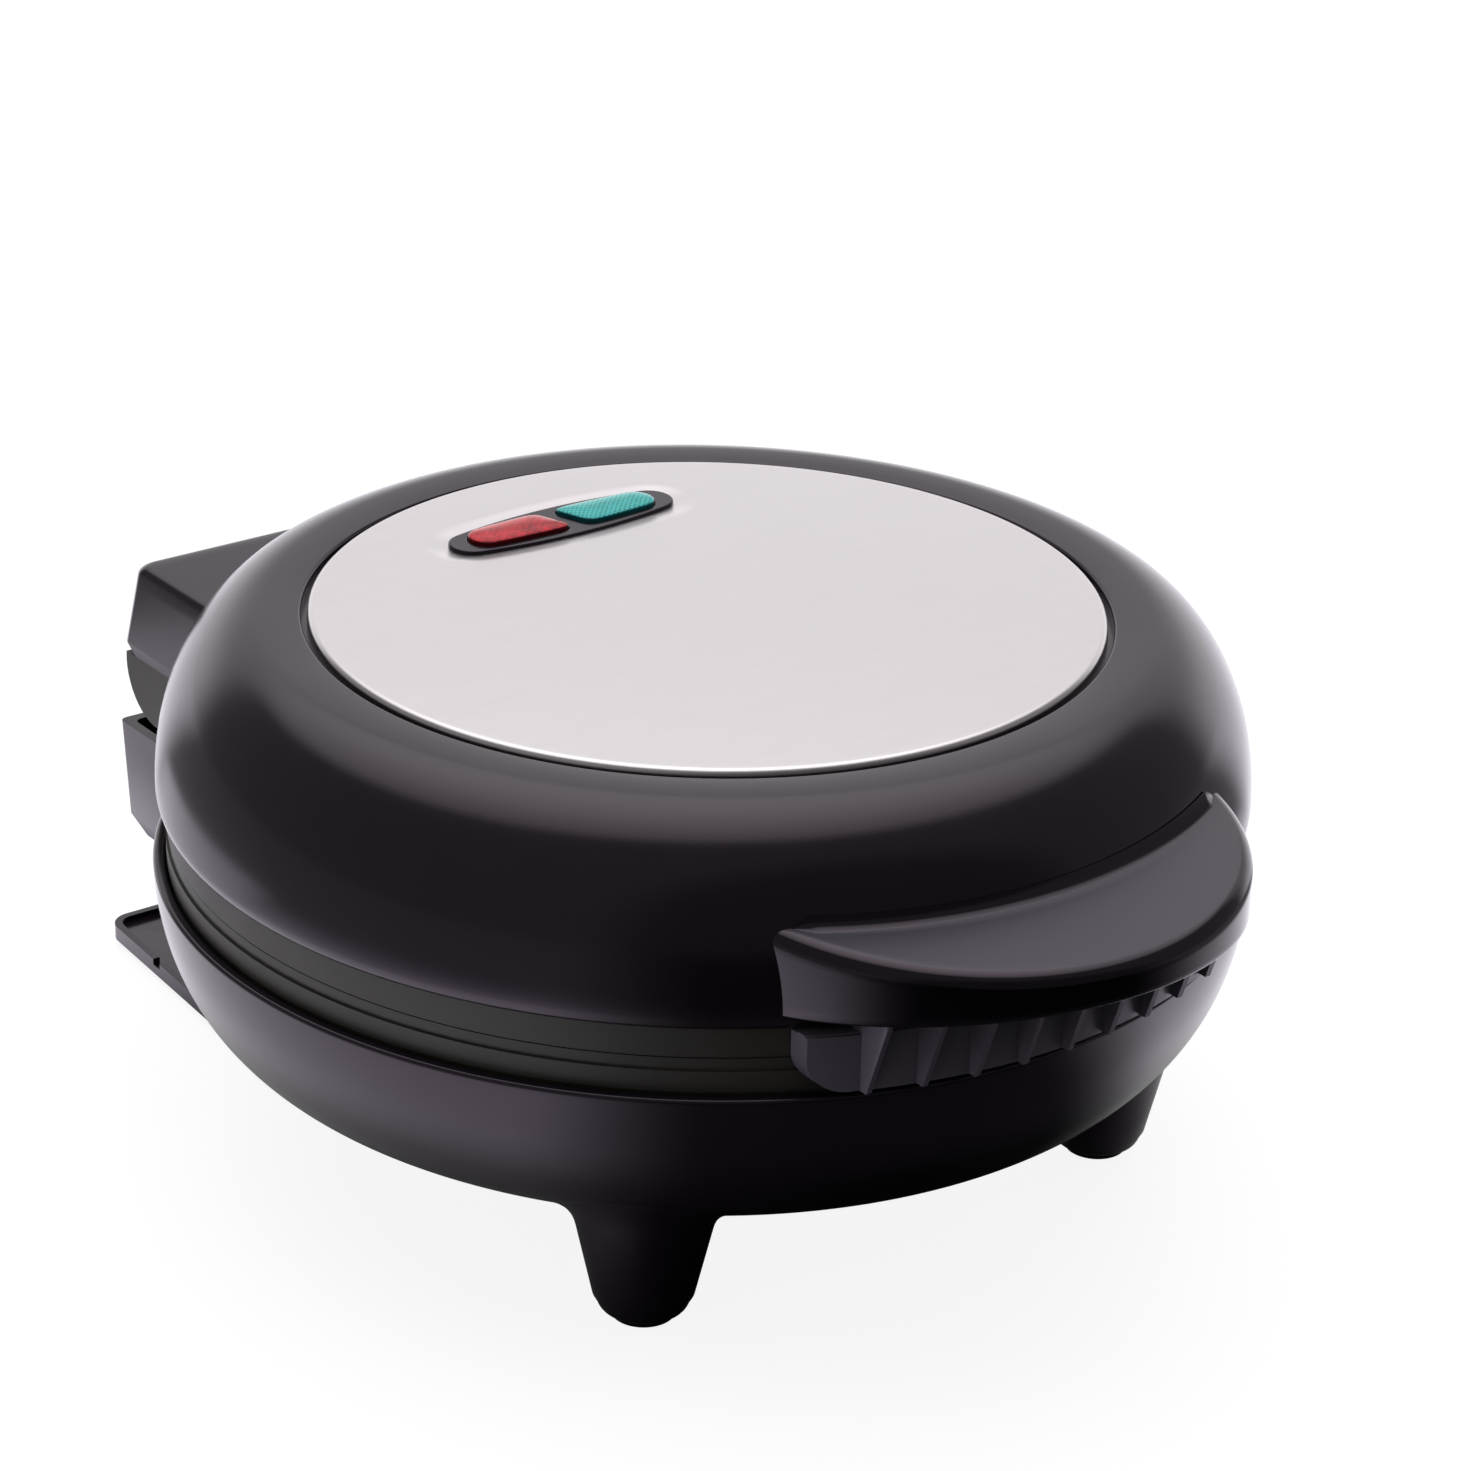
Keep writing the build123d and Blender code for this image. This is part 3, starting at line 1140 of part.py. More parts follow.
# Tray under the deck that holds the two neon lamps
HOLDER_TOP_Z = DISC_SEAT_Z - SHELL_WALL
with BuildPart() as lamp_holder:
    add(oval_block(BEZEL_L, BEZEL_W, HOLDER_TOP_Z - HOLDER_H, HOLDER_TOP_Z))
    add(
        oval_block(
            BEZEL_L - 2 * HOLDER_T, BEZEL_W - 2 * HOLDER_T,
            HOLDER_TOP_Z - HOLDER_H + HOLDER_T, HOLDER_TOP_Z,
        ),
        mode=Mode.SUBTRACT,
    )
    with BuildSketch(Plane.XY.offset(HOLDER_TOP_Z - HOLDER_H)):
        with Locations((0, LAMP_Y)):
            Rectangle(HOLDER_T, BEZEL_W - HOLDER_T)
    extrude(amount=HOLDER_H)
save(lamp_holder, "lamp_holder")

with BuildPart() as neon_lamps:
    neon_z = HOLDER_TOP_Z - HOLDER_H + HOLDER_T + NEON_R
    with Locations(*[(x, LAMP_Y, neon_z) for x in sides(NEON_X)]):
        Cylinder(NEON_R, NEON_L, rotation=(0, 90, 0))
    fillet(neon_lamps.edges().filter_by(GeomType.CIRCLE), NEON_TIP_ROUND)
save(neon_lamps, "neon_lamps")


def crescent(inset):
    """Handle outline seen from above, drawn in by inset and run on into the dome."""
    with BuildSketch() as outline:
        with Locations((0, HANDLE_ARC_Y)):
            Circle(HANDLE_ARC_R - inset)
        with Locations((0, HANDLE_TIP_Y + HANDLE_ROOT / 2 - BODY_R)):
            Rectangle(4 * HANDLE_HALF_W, 2 * BODY_R + HANDLE_ROOT, mode=Mode.INTERSECT)
    return outline.sketch


def handle_slope(tip_z, front_z, drop):
    """Plane through the handle's tips and its front, lowered by drop and facing up."""
    normal = (0, front_z - tip_z, HANDLE_DEPTH)
    return Plane(origin=(0, HANDLE_TIP_Y, tip_z - drop), x_dir=(1, 0, 0), z_dir=normal)


def crescent_block(inset, top_drop, low_drop):
    """Crescent between the handle's sloping top and its rising lower edge."""
    with BuildPart() as block:
        with BuildSketch(Plane.XY.offset(LID_EDGE_Z - HANDLE_DEPTH)):
            add(crescent(inset))
        extrude(amount=2 * HANDLE_DEPTH)
        split(
            bisect_by=handle_slope(HANDLE_TIP_TOP_Z, HANDLE_FRONT_TOP_Z, top_drop), keep=Keep.BOTTOM
        )
        split(bisect_by=handle_slope(HANDLE_TIP_LOW_Z, HANDLE_FRONT_LOW_Z, low_drop), keep=Keep.TOP)
    return block.part


# Crescent handle, open underneath, with two screw bosses hung from its top
with BuildPart() as handle_hollow:
    add(crescent_block(HANDLE_WALL, HANDLE_TOP_T, HANDLE_DEPTH / 2))

with BuildPart() as handle_bosses:
    with BuildSketch(Plane.XZ.offset(COLLAR_OUT_R + HANDLE_BOSS_L)):
        with Locations(*[(x, HANDLE_SCREW_Z) for x in sides(HANDLE_SCREW_X)]):
            Circle(HANDLE_BOSS_R)
        with Locations(*[(x, HANDLE_SCREW_Z + HANDLE_DEPTH / 4) for x in sides(HANDLE_SCREW_X)]):
            Rectangle(HANDLE_WEB_T, HANDLE_DEPTH / 2)
    extrude(amount=-2 * HANDLE_BOSS_L)
    with BuildSketch(Plane.XZ.offset(COLLAR_OUT_R + HANDLE_BOSS_L - SCREW_R)):
        with Locations(*[(x, HANDLE_SCREW_Z) for x in sides(HANDLE_SCREW_X)]):
            Circle(SCREW_R)
    extrude(amount=-2 * HANDLE_BOSS_L, mode=Mode.SUBTRACT)
    with BuildSketch():
        Circle(COLLAR_OUT_R + HANDLE_SEAT_GAP)
    extrude(amount=DECK_Z, mode=Mode.SUBTRACT)
    add(crescent_block(HANDLE_WALL / 2, HANDLE_TOP_T / 2, HANDLE_DEPTH / 2), mode=Mode.INTERSECT)

with BuildPart() as lid_handle:
    add(crescent_block(0, 0, 0))
    fillet(lid_handle.faces().sort_by(Axis.Z)[-1].edges().sort_by(Axis.Y)[0], HANDLE_EDGE_R)
    add(handle_hollow.part, mode=Mode.SUBTRACT)
    add(handle_bosses.part)
    add(dome_solid(HANDLE_SEAT_GAP), mode=Mode.SUBTRACT)
save(lid_handle, "lid_handle")

with BuildPart() as handle_screws:
    seats = [Pos(x, -HANDLE_SCREW_SEAT, HANDLE_SCREW_Z) for x in sides(HANDLE_SCREW_X)]
    with Locations(*[seat * Rot(90, 0, 0) for seat in seats]):
        add(pan_screw(COLLAR_OUT_R + HANDLE_BOSS_L - SCREW_R - HANDLE_SCREW_SEAT))
save(handle_screws, "handle_screws")

# Ribbed grip under the handle: shell over the bands, collar behind the handle, gusset ribs
with BuildPart() as rib_space:
    with BuildSketch():
        add(crescent(HANDLE_WALL + FIT_GAP))
    extrude(amount=GRIP_RIB_TOP_Z)

with BuildPart() as grip_ribs:
    for index in range(GRIP_RIBS):
        rib_x = (index - (GRIP_RIBS - 1) / 2) * GRIP_RIB_PITCH
        wall_y = -sqrt(GRIP_OUT_R**2 - rib_x**2)
        reach = (GRIP_RIB_TOP_Z - GRIP_LOW_Z) * tan(radians(GRIP_RIB_SLOPE))
        with BuildSketch(across(rib_x)):
            with BuildLine():
                Polyline(
                    (wall_y + GRIP_T / 2, GRIP_LOW_Z),
                    (wall_y - GRIP_RIB_FOOT, GRIP_LOW_Z),
                    (wall_y - GRIP_RIB_FOOT - reach, GRIP_RIB_TOP_Z),
                    (wall_y + GRIP_T / 2, GRIP_RIB_TOP_Z),
                    close=True,
                )
            make_face()
        extrude(amount=GRIP_RIB_T / 2, both=True)
    add(rib_space.part, mode=Mode.INTERSECT)


def grip_outline(inset):
    """Front view of the grip below the lid's edge, drawn in by inset, lower corners round."""
    with BuildSketch(Plane.XZ) as outline:
        with Locations((0, GRIP_LOW_Z + GRIP_HALF_W / 2)):
            RectangleRounded(
                2 * (GRIP_HALF_W - inset), GRIP_HALF_W - 2 * inset, GRIP_CORNER_R - inset
            )
        with Locations((0, LID_EDGE_Z + HANDLE_DEPTH)):
            Rectangle(4 * GRIP_HALF_W, 2 * HANDLE_DEPTH, mode=Mode.SUBTRACT)
    return outline.sketch


with BuildPart() as grip_front:
    with BuildSketch(Plane.XZ):
        add(grip_outline(0))
        with Locations((0, LID_EDGE_Z + GRIP_HALF_W / 2 - FIT_GAP)):
            Rectangle(2 * GRIP_COLLAR_HALF_W, GRIP_HALF_W + FIT_GAP)
    extrude(amount=2 * BODY_R)

with BuildPart() as grip_hollow:
    with BuildSketch(Plane.XZ):
        add(grip_outline(GRIP_T))
    extrude(amount=2 * BODY_R)
    with Locations((0, 0, LID_EDGE_Z - FIT_GAP - GRIP_SHELF_T)):
        Cylinder(
            GRIP_OUT_R - GRIP_T, BODY_R, align=(Align.CENTER, Align.CENTER, Align.MAX),
            mode=Mode.INTERSECT,
        )

with BuildPart() as handle_insert:
    with BuildSketch(Plane.XZ) as grip_section:
        with BuildLine():
            Polyline(
                (GRIP_IN_R, GRIP_LOW_Z),
                (GRIP_OUT_R, GRIP_LOW_Z),
                (GRIP_OUT_R, LID_EDGE_Z - FIT_GAP),
                (COLLAR_OUT_R, LID_EDGE_Z - FIT_GAP),
                (COLLAR_OUT_R, GRIP_COLLAR_TOP_Z),
                (COLLAR_IN_R, GRIP_COLLAR_TOP_Z),
                (COLLAR_IN_R, LID_EDGE_Z - FIT_GAP),
                (GRIP_IN_R, LID_EDGE_Z - FIT_GAP),
                close=True,
            )
        make_face()
    revolve(axis=Axis.Z)
    add(grip_ribs.part)
    add(grip_front.part, mode=Mode.INTERSECT)
    add(grip_hollow.part, mode=Mode.SUBTRACT)
    add(dome_solid(FIT_GAP), mode=Mode.SUBTRACT)
    with BuildSketch(Plane.XZ):
        with Locations(*[(x, HANDLE_SCREW_Z) for x in sides(HANDLE_SCREW_X)]):
            Circle(SCREW_R)
    extrude(amount=2 * BODY_R, mode=Mode.SUBTRACT)
save(handle_insert, "handle_insert")
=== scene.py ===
import logging
import math
from collections.abc import Callable, Sequence
from dataclasses import dataclass
from enum import Enum

import bmesh
import bpy
from mathutils import Matrix, Vector


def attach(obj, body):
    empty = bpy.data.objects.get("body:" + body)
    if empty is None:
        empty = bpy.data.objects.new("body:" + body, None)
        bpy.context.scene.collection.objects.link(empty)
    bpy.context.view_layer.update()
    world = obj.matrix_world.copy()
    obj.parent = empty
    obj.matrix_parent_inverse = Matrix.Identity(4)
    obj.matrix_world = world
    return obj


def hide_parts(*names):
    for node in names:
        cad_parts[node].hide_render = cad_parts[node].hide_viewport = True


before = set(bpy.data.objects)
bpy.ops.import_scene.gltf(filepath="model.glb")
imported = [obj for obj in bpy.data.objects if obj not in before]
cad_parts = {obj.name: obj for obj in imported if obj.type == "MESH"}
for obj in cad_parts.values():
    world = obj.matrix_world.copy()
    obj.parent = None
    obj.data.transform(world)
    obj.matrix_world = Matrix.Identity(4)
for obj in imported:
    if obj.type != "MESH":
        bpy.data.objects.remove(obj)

log = logging.getLogger("omelette_maker")

MM = 0.001
IMAGE_WIDTH = 1470        # pixels of the photograph
WELD_MM = 0.002           # points closer than this are one point
THIN_MM = 0.001           # edges shorter than this are dropped
FLAT_ANGLE = 0.6          # degrees up to which neighbouring faces are merged
SHARP_ANGLE = 32.0        # degrees above which an edge stays sharp
PATTERN_LOW = 0.3         # a noise pattern runs between these two values
PATTERN_HIGH = 0.7
UP = (0.0, 0.0, 1.0)
LEAST_SLOPE = 0.001       # a way flatter than this never reaches the line it leans to
FAR = 1000.0              # millimetres, further than any edge
END_SHARE = 0.34          # radius of a pointed oval's ends as a share of its width
NEXT = 0.1                # share at which a curve goes on where its first point is already laid

Point = tuple[float, float, float]
Flat = tuple[float, float]
Tree = bpy.types.NodeTree
Socket = bpy.types.NodeSocket


class Body(Enum):
    """The two rigid bodies of the appliance, by the names they have in the frame."""

    BASE = "base"
    LID = "lid"


class Side(Enum):
    """Left or right half, seen from the handle; the value is the sign of x."""

    LEFT = -1
    RIGHT = 1


# Small tools for meshes


def arc(centre: Flat, radii: Flat, start: float, end: float, steps: int) -> list[Flat]:
    """Points on an elliptical arc between two angles in degrees, cut into steps."""
    turns = [math.radians(start + (end - start) * i / steps) for i in range(steps + 1)]
    return [(centre[0] + radii[0] * math.cos(t), centre[1] + radii[1] * math.sin(t)) for t in turns]


def spread(start: float, end: float, steps: int) -> list[float]:
    """Evenly spaced values from start to end, one more than there are steps."""
    return [start + (end - start) * i / steps for i in range(steps + 1)]


def mix(a: float, b: float, share: float) -> float:
    """Value between a and b at the given share of the way."""
    return a + (b - a) * share


def bend(start: Flat, corner: Flat, end: Flat, steps: int) -> list[Flat]:
    """Points on a curve that leaves start towards corner and comes to end from there.

    Args:
        start: Where it leaves; this point is left out.
        corner: The point it bends towards.
        end: Where it comes to.
        steps: Number of pieces after the first.

    Returns:
        steps + 1 points.
    """
    points = []
    for share in spread(NEXT, 1.0, steps):
        a, b, c = (1 - share) ** 2, 2 * share * (1 - share), share * share
        points.append((
            a * start[0] + b * corner[0] + c * end[0],
            a * start[1] + b * corner[1] + c * end[1],
        ))
    return points


def ring(radius: float, z: float, steps: int) -> list[Point]:
    """Points on a level circle round the upright axis, from +x towards +y."""
    turns = [2 * math.pi * i / steps for i in range(steps)]
    return [(radius * math.cos(t), radius * math.sin(t), z) for t in turns]


def open_path(half_w: float, front_y: float, rear_y: float, corner: float, steps: int) -> list[Flat]:
    """Plan of a box with two round rear corners, open at the front.

    Args:
        half_w: Half its width.
        front_y: Place of its open front.
        rear_y: Place of its rear wall.
        corner: Radius of its corners.
        steps: Number of pieces a corner is cut into.

    Returns:
        Points from the front left to the front right.
    """
    left = arc((-half_w + corner, rear_y - corner), (corner, corner), 180, 90, steps)
    right = arc((half_w - corner, rear_y - corner), (corner, corner), 90, 0, steps)
    return [(-half_w, front_y), *left, *right, (half_w, front_y)]


def raised(path: Sequence[Flat], z: float) -> list[Point]:
    """A plan lifted to one height."""
    return [(x, y, z) for x, y in path]


def show(name: str, mesh: bpy.types.Mesh, sharp: float = SHARP_ANGLE) -> bpy.types.Object:
    """Put a mesh into the scene as an object, smooth except at its sharp edges.

    Args:
        name: The object's name.
        mesh: The mesh.
        sharp: Angle in degrees above which an edge stays sharp.

    Returns:
        The new object.
    """
    mesh.shade_smooth()
    mesh.set_sharp_from_angle(angle=math.radians(sharp))
    piece = bpy.data.objects.new(name, mesh)
    bpy.context.scene.collection.objects.link(piece)
    return piece


class Shell:
    """A mesh gathered from rows of points in millimetres, welded where rows meet."""

    def __init__(self) -> None:
        """Start with no points and no faces."""
        self.points: list[Point] = []
        self.faces: list[tuple[int, ...]] = []

    def grid(self, rows: Sequence[Sequence[Point]], wrap: bool = False) -> None:
        """Lay quads between neighbouring rows.

        Args:
            rows: Rows of points, all of one length.
            wrap: True where the end of each row joins its start.
        """
        first = len(self.points)
        width = len(rows[0])
        for row in rows:
            self.points.extend(row)
        for r in range(len(rows) - 1):
            for c in range(width if wrap else width - 1):
                a = first + r * width + c
                b = first + r * width + (c + 1) % width
                self.faces.append((a, b, b + width, a + width))

    def cap(self, loop: Sequence[Point]) -> None:
        """Close a loop with one face.

        Args:
            loop: The loop's points in order.
        """
        first = len(self.points)
        self.points.extend(loop)
        self.faces.append(tuple(range(first, first + len(loop))))

    def lathe(self, profile: Sequence[Flat], steps: int) -> None:
        """Turn a profile of radius and height round the upright axis."""
        self.grid([ring(r, z, steps) for r, z in profile], wrap=True)

    def drop(self, unwanted: Callable[[Vector], bool]) -> None:
        """Take out the faces whose middle is unwanted.

        Args:
            unwanted: Says for a point in millimetres whether a face there goes.
        """
        kept = []
        for face in self.faces:
            middle = sum((Vector(self.points[i]) for i in face), Vector()) / len(face)
            if not unwanted(middle):
                kept.append(face)
        self.faces = kept

    def build(self, name: str, body: Body, sharp: float = SHARP_ANGLE) -> bpy.types.Object:
        """Make the object, smooth except at sharp edges, and let it ride on its body.

        Args:
            name: The piece's name.
            body: The body it moves with.
            sharp: Angle in degrees above which an edge stays sharp.

        Returns:
            The new object.
        """
        mesh = bpy.data.meshes.new(name)
        work = bmesh.new()
        corners = [work.verts.new(Vector(p) * MM) for p in self.points]
        for face in self.faces:
            loop = [corners[i] for i in face]
            if len(set(loop)) == len(loop):
                work.faces.new(loop)
        bmesh.ops.remove_doubles(work, verts=work.verts, dist=WELD_MM * MM)
        bmesh.ops.dissolve_degenerate(work, edges=work.edges, dist=THIN_MM * MM)
        loose = [v for v in work.verts if not v.link_faces]
        bmesh.ops.delete(work, geom=loose, context="VERTS")
        bmesh.ops.recalc_face_normals(work, faces=work.faces)
        work.to_mesh(mesh)
        work.free()
        piece = show(name, mesh, sharp)
        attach(piece, body.value)
        return piece


# Small tools for materials


def linear(code: str) -> tuple[float, float, float, float]:
    """Colour of a hex code as linear light.

    Args:
        code: sRGB colour such as "#1f1a1e".

    Returns:
        Linear red, green and blue, and an alpha of 1.
    """
    parts = [int(code[i:i + 2], 16) / 255 for i in (1, 3, 5)]
    red, green, blue = (c / 12.92 if c <= 0.04045 else ((c + 0.055) / 1.055) ** 2.4 for c in parts)
    return (red, green, blue, 1.0)


def per_metre(size_mm: float) -> float:
    """Texture scale at which one feature is about that many millimetres wide."""
    return 1.0 / (size_mm * MM)


def add_node(tree: Tree, kind: str, settings: dict | None = None, **links: object) -> bpy.types.Node:
    """Add a node to a tree.

    Args:
        tree: The material's or world's node tree.
        kind: The node's type, such as "ShaderNodeMix".
        settings: Properties by name, and sockets by their number as a string after a #.
        **links: Sockets by name, with _ for a space: an output to link, or a value.

    Returns:
        The new node.
    """
    node = tree.nodes.new(kind)
    for key, value in (settings or {}).items():
        if key.startswith("#"):
            target = node.inputs[int(key[1:])]
            if isinstance(value, Socket):
                tree.links.new(value, target)
            else:
                target.default_value = value
        else:
            setattr(node, key, value)
    for key, value in links.items():
        target = node.inputs[key.replace("_", " ")]
        if isinstance(value, Socket):
            tree.links.new(value, target)
        else:
            target.default_value = value
    return node


def start_material(name: str) -> tuple[bpy.types.Material, Tree, bpy.types.Node]:
    """Make an empty material with its surface shader.

    Args:
        name: The material's name.

    Returns:
        The material, its tree, and the Principled shader linked to the output.
    """
    material = bpy.data.materials.new(name)
    material.use_nodes = True
    tree = material.node_tree
    tree.nodes.clear()
    shader = add_node(tree, "ShaderNodeBsdfPrincipled")
    add_node(tree, "ShaderNodeOutputMaterial", Surface=shader.outputs["BSDF"])
    return material, tree, shader


def noise(tree: Tree, place: Socket, size_mm: float, **inputs: float) -> Socket:
    """Cloudy pattern from 0 to 1, its clouds about size_mm wide."""
    node = add_node(tree, "ShaderNodeTexNoise", Vector=place, Scale=per_metre(size_mm), **inputs)
    return node.outputs["Fac"]


def blended(tree: Tree, share: Socket, low: object, high: object, colour: bool = False) -> Socket:
    """Go from one number or colour to another.

    Args:
        tree: The tree to add to.
        share: How far to go, from 0 to 1.
        low: The first number, colour or output.
        high: The second.
        colour: True where they are colours.

    Returns:
        The number or colour.
    """
    kind, first, result = ("RGBA", 6, 2) if colour else ("FLOAT", 2, 0)
    settings = {"data_type": kind, f"#{first}": low, f"#{first + 1}": high}
    return add_node(tree, "ShaderNodeMix", settings, Factor=share).outputs[result]


def coat(
    tree: Tree, shader: bpy.types.Node, colour: Socket, rough: Socket,
    relief: Socket, depth_mm: float, strength: float = 1.0,
) -> None:
    """Link colour, roughness and relief to a surface shader.

    Args:
        tree: The material's tree.
        shader: The shader.
        colour: The colour.
        rough: The roughness.
        relief: Height of the relief, from 0 to 1.
        depth_mm: Depth of the relief.
        strength: Share of the relief that is used.
    """
    bump = add_node(tree, "ShaderNodeBump", Height=relief, Strength=strength, Distance=depth_mm * MM)
    tree.links.new(colour, shader.inputs["Base Color"])
    tree.links.new(rough, shader.inputs["Roughness"])
    tree.links.new(bump.outputs["Normal"], shader.inputs["Normal"])


def tone(tree: Tree, value: Socket, low: str, high: str) -> Socket:
    """Turn a pattern into a colour between two tones.

    Args:
        tree: The tree to add to.
        value: The pattern, from 0 to 1.
        low: Hex colour where the pattern is 0.
        high: Hex colour where it is 1.

    Returns:
        The colour output.
    """
    ramp = add_node(tree, "ShaderNodeValToRGB", Fac=value)
    for stop, code, place in zip(ramp.color_ramp.elements, (low, high), (PATTERN_LOW, PATTERN_HIGH)):
        stop.color = linear(code)
        stop.position = place
    return ramp.outputs["Color"]


def number(tree: Tree, operation: str, a: object, b: object) -> Socket:
    """Combine two numbers or outputs by an operation such as "MULTIPLY"."""
    return add_node(tree, "ShaderNodeMath", {"operation": operation, "#0": a, "#1": b}).outputs[0]


def along(tree: Tree, way: Socket, axis: Point) -> Socket:
    """Share of a vector that points along an axis of length 1."""
    settings = {"operation": "DOT_PRODUCT", "#0": way, "#1": axis}
    return add_node(tree, "ShaderNodeVectorMath", settings).outputs["Value"]


def fade(
    tree: Tree, value: Socket, start: float, end: float,
    low: float, high: float, smooth: bool = True,
) -> Socket:
    """Run from one level to another while a value goes from start to end.

    Args:
        tree: The tree to add to.
        value: The value.
        start: Where the change begins.
        end: Where it is complete.
        low: Level at the start.
        high: Level at the end.
        smooth: True for soft ends of the change.

    Returns:
        The level.
    """
    kind = "SMOOTHSTEP" if smooth else "LINEAR"
    return add_node(
        tree, "ShaderNodeMapRange",
        {"interpolation_type": kind, "#1": start, "#2": end, "#3": low, "#4": high}, Value=value,
    ).outputs["Result"]


def between(tree: Tree, value: Socket, low: float, high: float) -> Socket:
    """Turn a pattern into a number between low and high."""
    return fade(tree, value, PATTERN_LOW, PATTERN_HIGH, low, high, smooth=False)


@dataclass(frozen=True)
class MouldedPlastic:
    """Plastic from a polished or etched mould: ABS, PBT or nylon."""

    name: str
    dark: str
    light: str
    rough_low: float
    rough_high: float
    grain_mm: float
    grain_depth_mm: float
    cloud_mm: float = 28.0
    cloud_detail: float = 3.0
    ior: float = 1.54
    sheen: str = "#ffffff"
    # etched: colour of the upward-facing top, lighter than the body as painted sheen; etched_rough is its
    # real etched texture
    etched: str = ""
    etched_rough: float = 0.36
    etched_top_and_painted_sheen_slope: Flat = (0.94, 0.985)

    def make(self) -> bpy.types.Material:
        """Build the material.

        Returns:
            The material.
        """
        material, tree, shader = start_material(self.name)
        where = add_node(tree, "ShaderNodeTexCoord").outputs
        cloud = noise(tree, where["Object"], self.cloud_mm, Detail=self.cloud_detail)
        grain = noise(tree, where["Object"], self.grain_mm)
        colour = tone(tree, cloud, self.dark, self.light)
        rough = between(tree, cloud, self.rough_low, self.rough_high)
        # Faces turned upwards take the etched roughness, and a lighter colour that is painted sheen.
        if self.etched:
            start, full = self.etched_top_and_painted_sheen_slope
            up = fade(tree, along(tree, where["Normal"], UP), start, full, 0.0, 1.0)
            colour = blended(tree, up, colour, linear(self.etched), colour=True)
            rough = blended(tree, up, rough, self.etched_rough)
        coat(tree, shader, colour, rough, grain, self.grain_depth_mm)
        shader.inputs["IOR"].default_value = self.ior
        shader.inputs["Specular Tint"].default_value = linear(self.sheen)
        return material


@dataclass(frozen=True)
class BrushedMetal:
    """Metal with fine lines from an abrasive belt, or plain rolled sheet."""

    name: str
    dark: str
    light: str
    rough_low: float
    rough_high: float
    line_mm: float
    line_length_mm: float
    line_depth_mm: float
    line_detail: float = 3.0

    def make(self) -> bpy.types.Material:
        """Build the material.

        Returns:
            The material.
        """
        material, tree, shader = start_material(self.name)
        place = add_node(tree, "ShaderNodeTexCoord").outputs["Object"]
        squeeze = add_node(
            tree, "ShaderNodeMapping",
            {"#3": (self.line_mm / self.line_length_mm, 1.0, 1.0)}, Vector=place,
        ).outputs["Vector"]
        lines = noise(tree, squeeze, self.line_mm, Detail=self.line_detail)
        colour = tone(tree, lines, self.dark, self.light)
        rough = between(tree, lines, self.rough_low, self.rough_high)
        coat(tree, shader, colour, rough, lines, self.line_depth_mm)
        shader.inputs["Metallic"].default_value = 1.0
        return material


@dataclass(frozen=True)
class TintedLens:
    """Clear tinted acrylic with a grid of small prisms moulded into its back."""

    name: str
    deep: str
    bright: str
    prism_mm: float
    prism_depth_mm: float
    scatter_mm: float
    scatter: float
    shine: str
    scatter_detail: float = 4.0
    scatter_rough: float = 0.65
    prism_turn: float = 45.0
    prism_edge: Flat = (0.1, 0.6)
    prism_level: Flat = (0.85, 0.35)
    prism_strength: float = 0.5
    painted_light_slope: Flat = (0.5, 0.95)
    painted_light_level: Flat = (0.25, 1.15)
    rough: Flat = (0.08, 0.16)
    ior: float = 1.49

    def make(self) -> bpy.types.Material:
        """Build the material.

        Returns:
            The material.
        """
        material, tree, shader = start_material(self.name)
        where = add_node(tree, "ShaderNodeTexCoord").outputs
        turned = add_node(
            tree, "ShaderNodeMapping", {"#2": (0.0, 0.0, math.radians(self.prism_turn))},
            Vector=where["Object"],
        ).outputs["Vector"]
        cells = add_node(
            tree, "ShaderNodeTexVoronoi", {"voronoi_dimensions": "2D"},
            Vector=turned, Scale=per_metre(self.prism_mm), Randomness=0.0,
        ).outputs["Distance"]
        patches = noise(
            tree, where["Object"], self.scatter_mm, Detail=self.scatter_detail, Roughness=self.scatter_rough
        )
        dots = fade(tree, cells, *self.prism_edge, *self.prism_level)
        blend = number(
            tree, "ADD", number(tree, "MULTIPLY", dots, 1.0 - self.scatter),
            number(tree, "MULTIPLY", patches, self.scatter),
        )
        # Painted light and shade: the colour is lighter where the lens faces up and deeper towards its steep
        # rim.
        level = fade(tree, along(tree, where["Normal"], UP), *self.painted_light_slope, *self.painted_light_level)
        colour = tone(tree, number(tree, "MULTIPLY", blend, level), self.deep, self.bright)
        rough = between(tree, patches, *self.rough)
        coat(tree, shader, colour, rough, cells, self.prism_depth_mm, self.prism_strength)
        shader.inputs["IOR"].default_value = self.ior
        shader.inputs["Specular Tint"].default_value = linear(self.shine)
        return material


# Gloss black ABS: a polished mould gives soft, wide reflections on a near-black body.
ABS_BLACK = MouldedPlastic(
    "abs_black_polished_mould", "#18121a", "#1d171e", 0.15, 0.19, 1.6, 0.001, sheen="#ffedff"
)
# The handle, of the same ABS: polished sides in a darker copy of its black as painted shade, and an etched
# top that shines dully, its lighter grey a painted sheen.
ABS_HANDLE = MouldedPlastic(
    "abs_black_painted_shade_sides_painted_sheen_top", "#0a070b", "#0d090e", 0.07, 0.1, 1.6, 0.001, sheen="#ffedff",
    etched="#33313b",
)
# The grip's insert: ABS from an etched mould, satin, its grey lifted well above its own dark tone as painted
# light, standing in for the bright reflection it shows under the handle.
ABS_GRIP = MouldedPlastic(
    "abs_grey_etched_grip_painted_reflection", "#6a6671", "#706c77", 0.3, 0.36, 0.8, 0.002, sheen="#ffedff"
)
# Heat-proof PBT: an etched mould gives a dry, dark olive-grey surface with no clear reflection.
PBT_BAND = MouldedPlastic("pbt_heatproof_etched_mould", "#36342f", "#403e39", 0.44, 0.54, 0.5, 0.006)
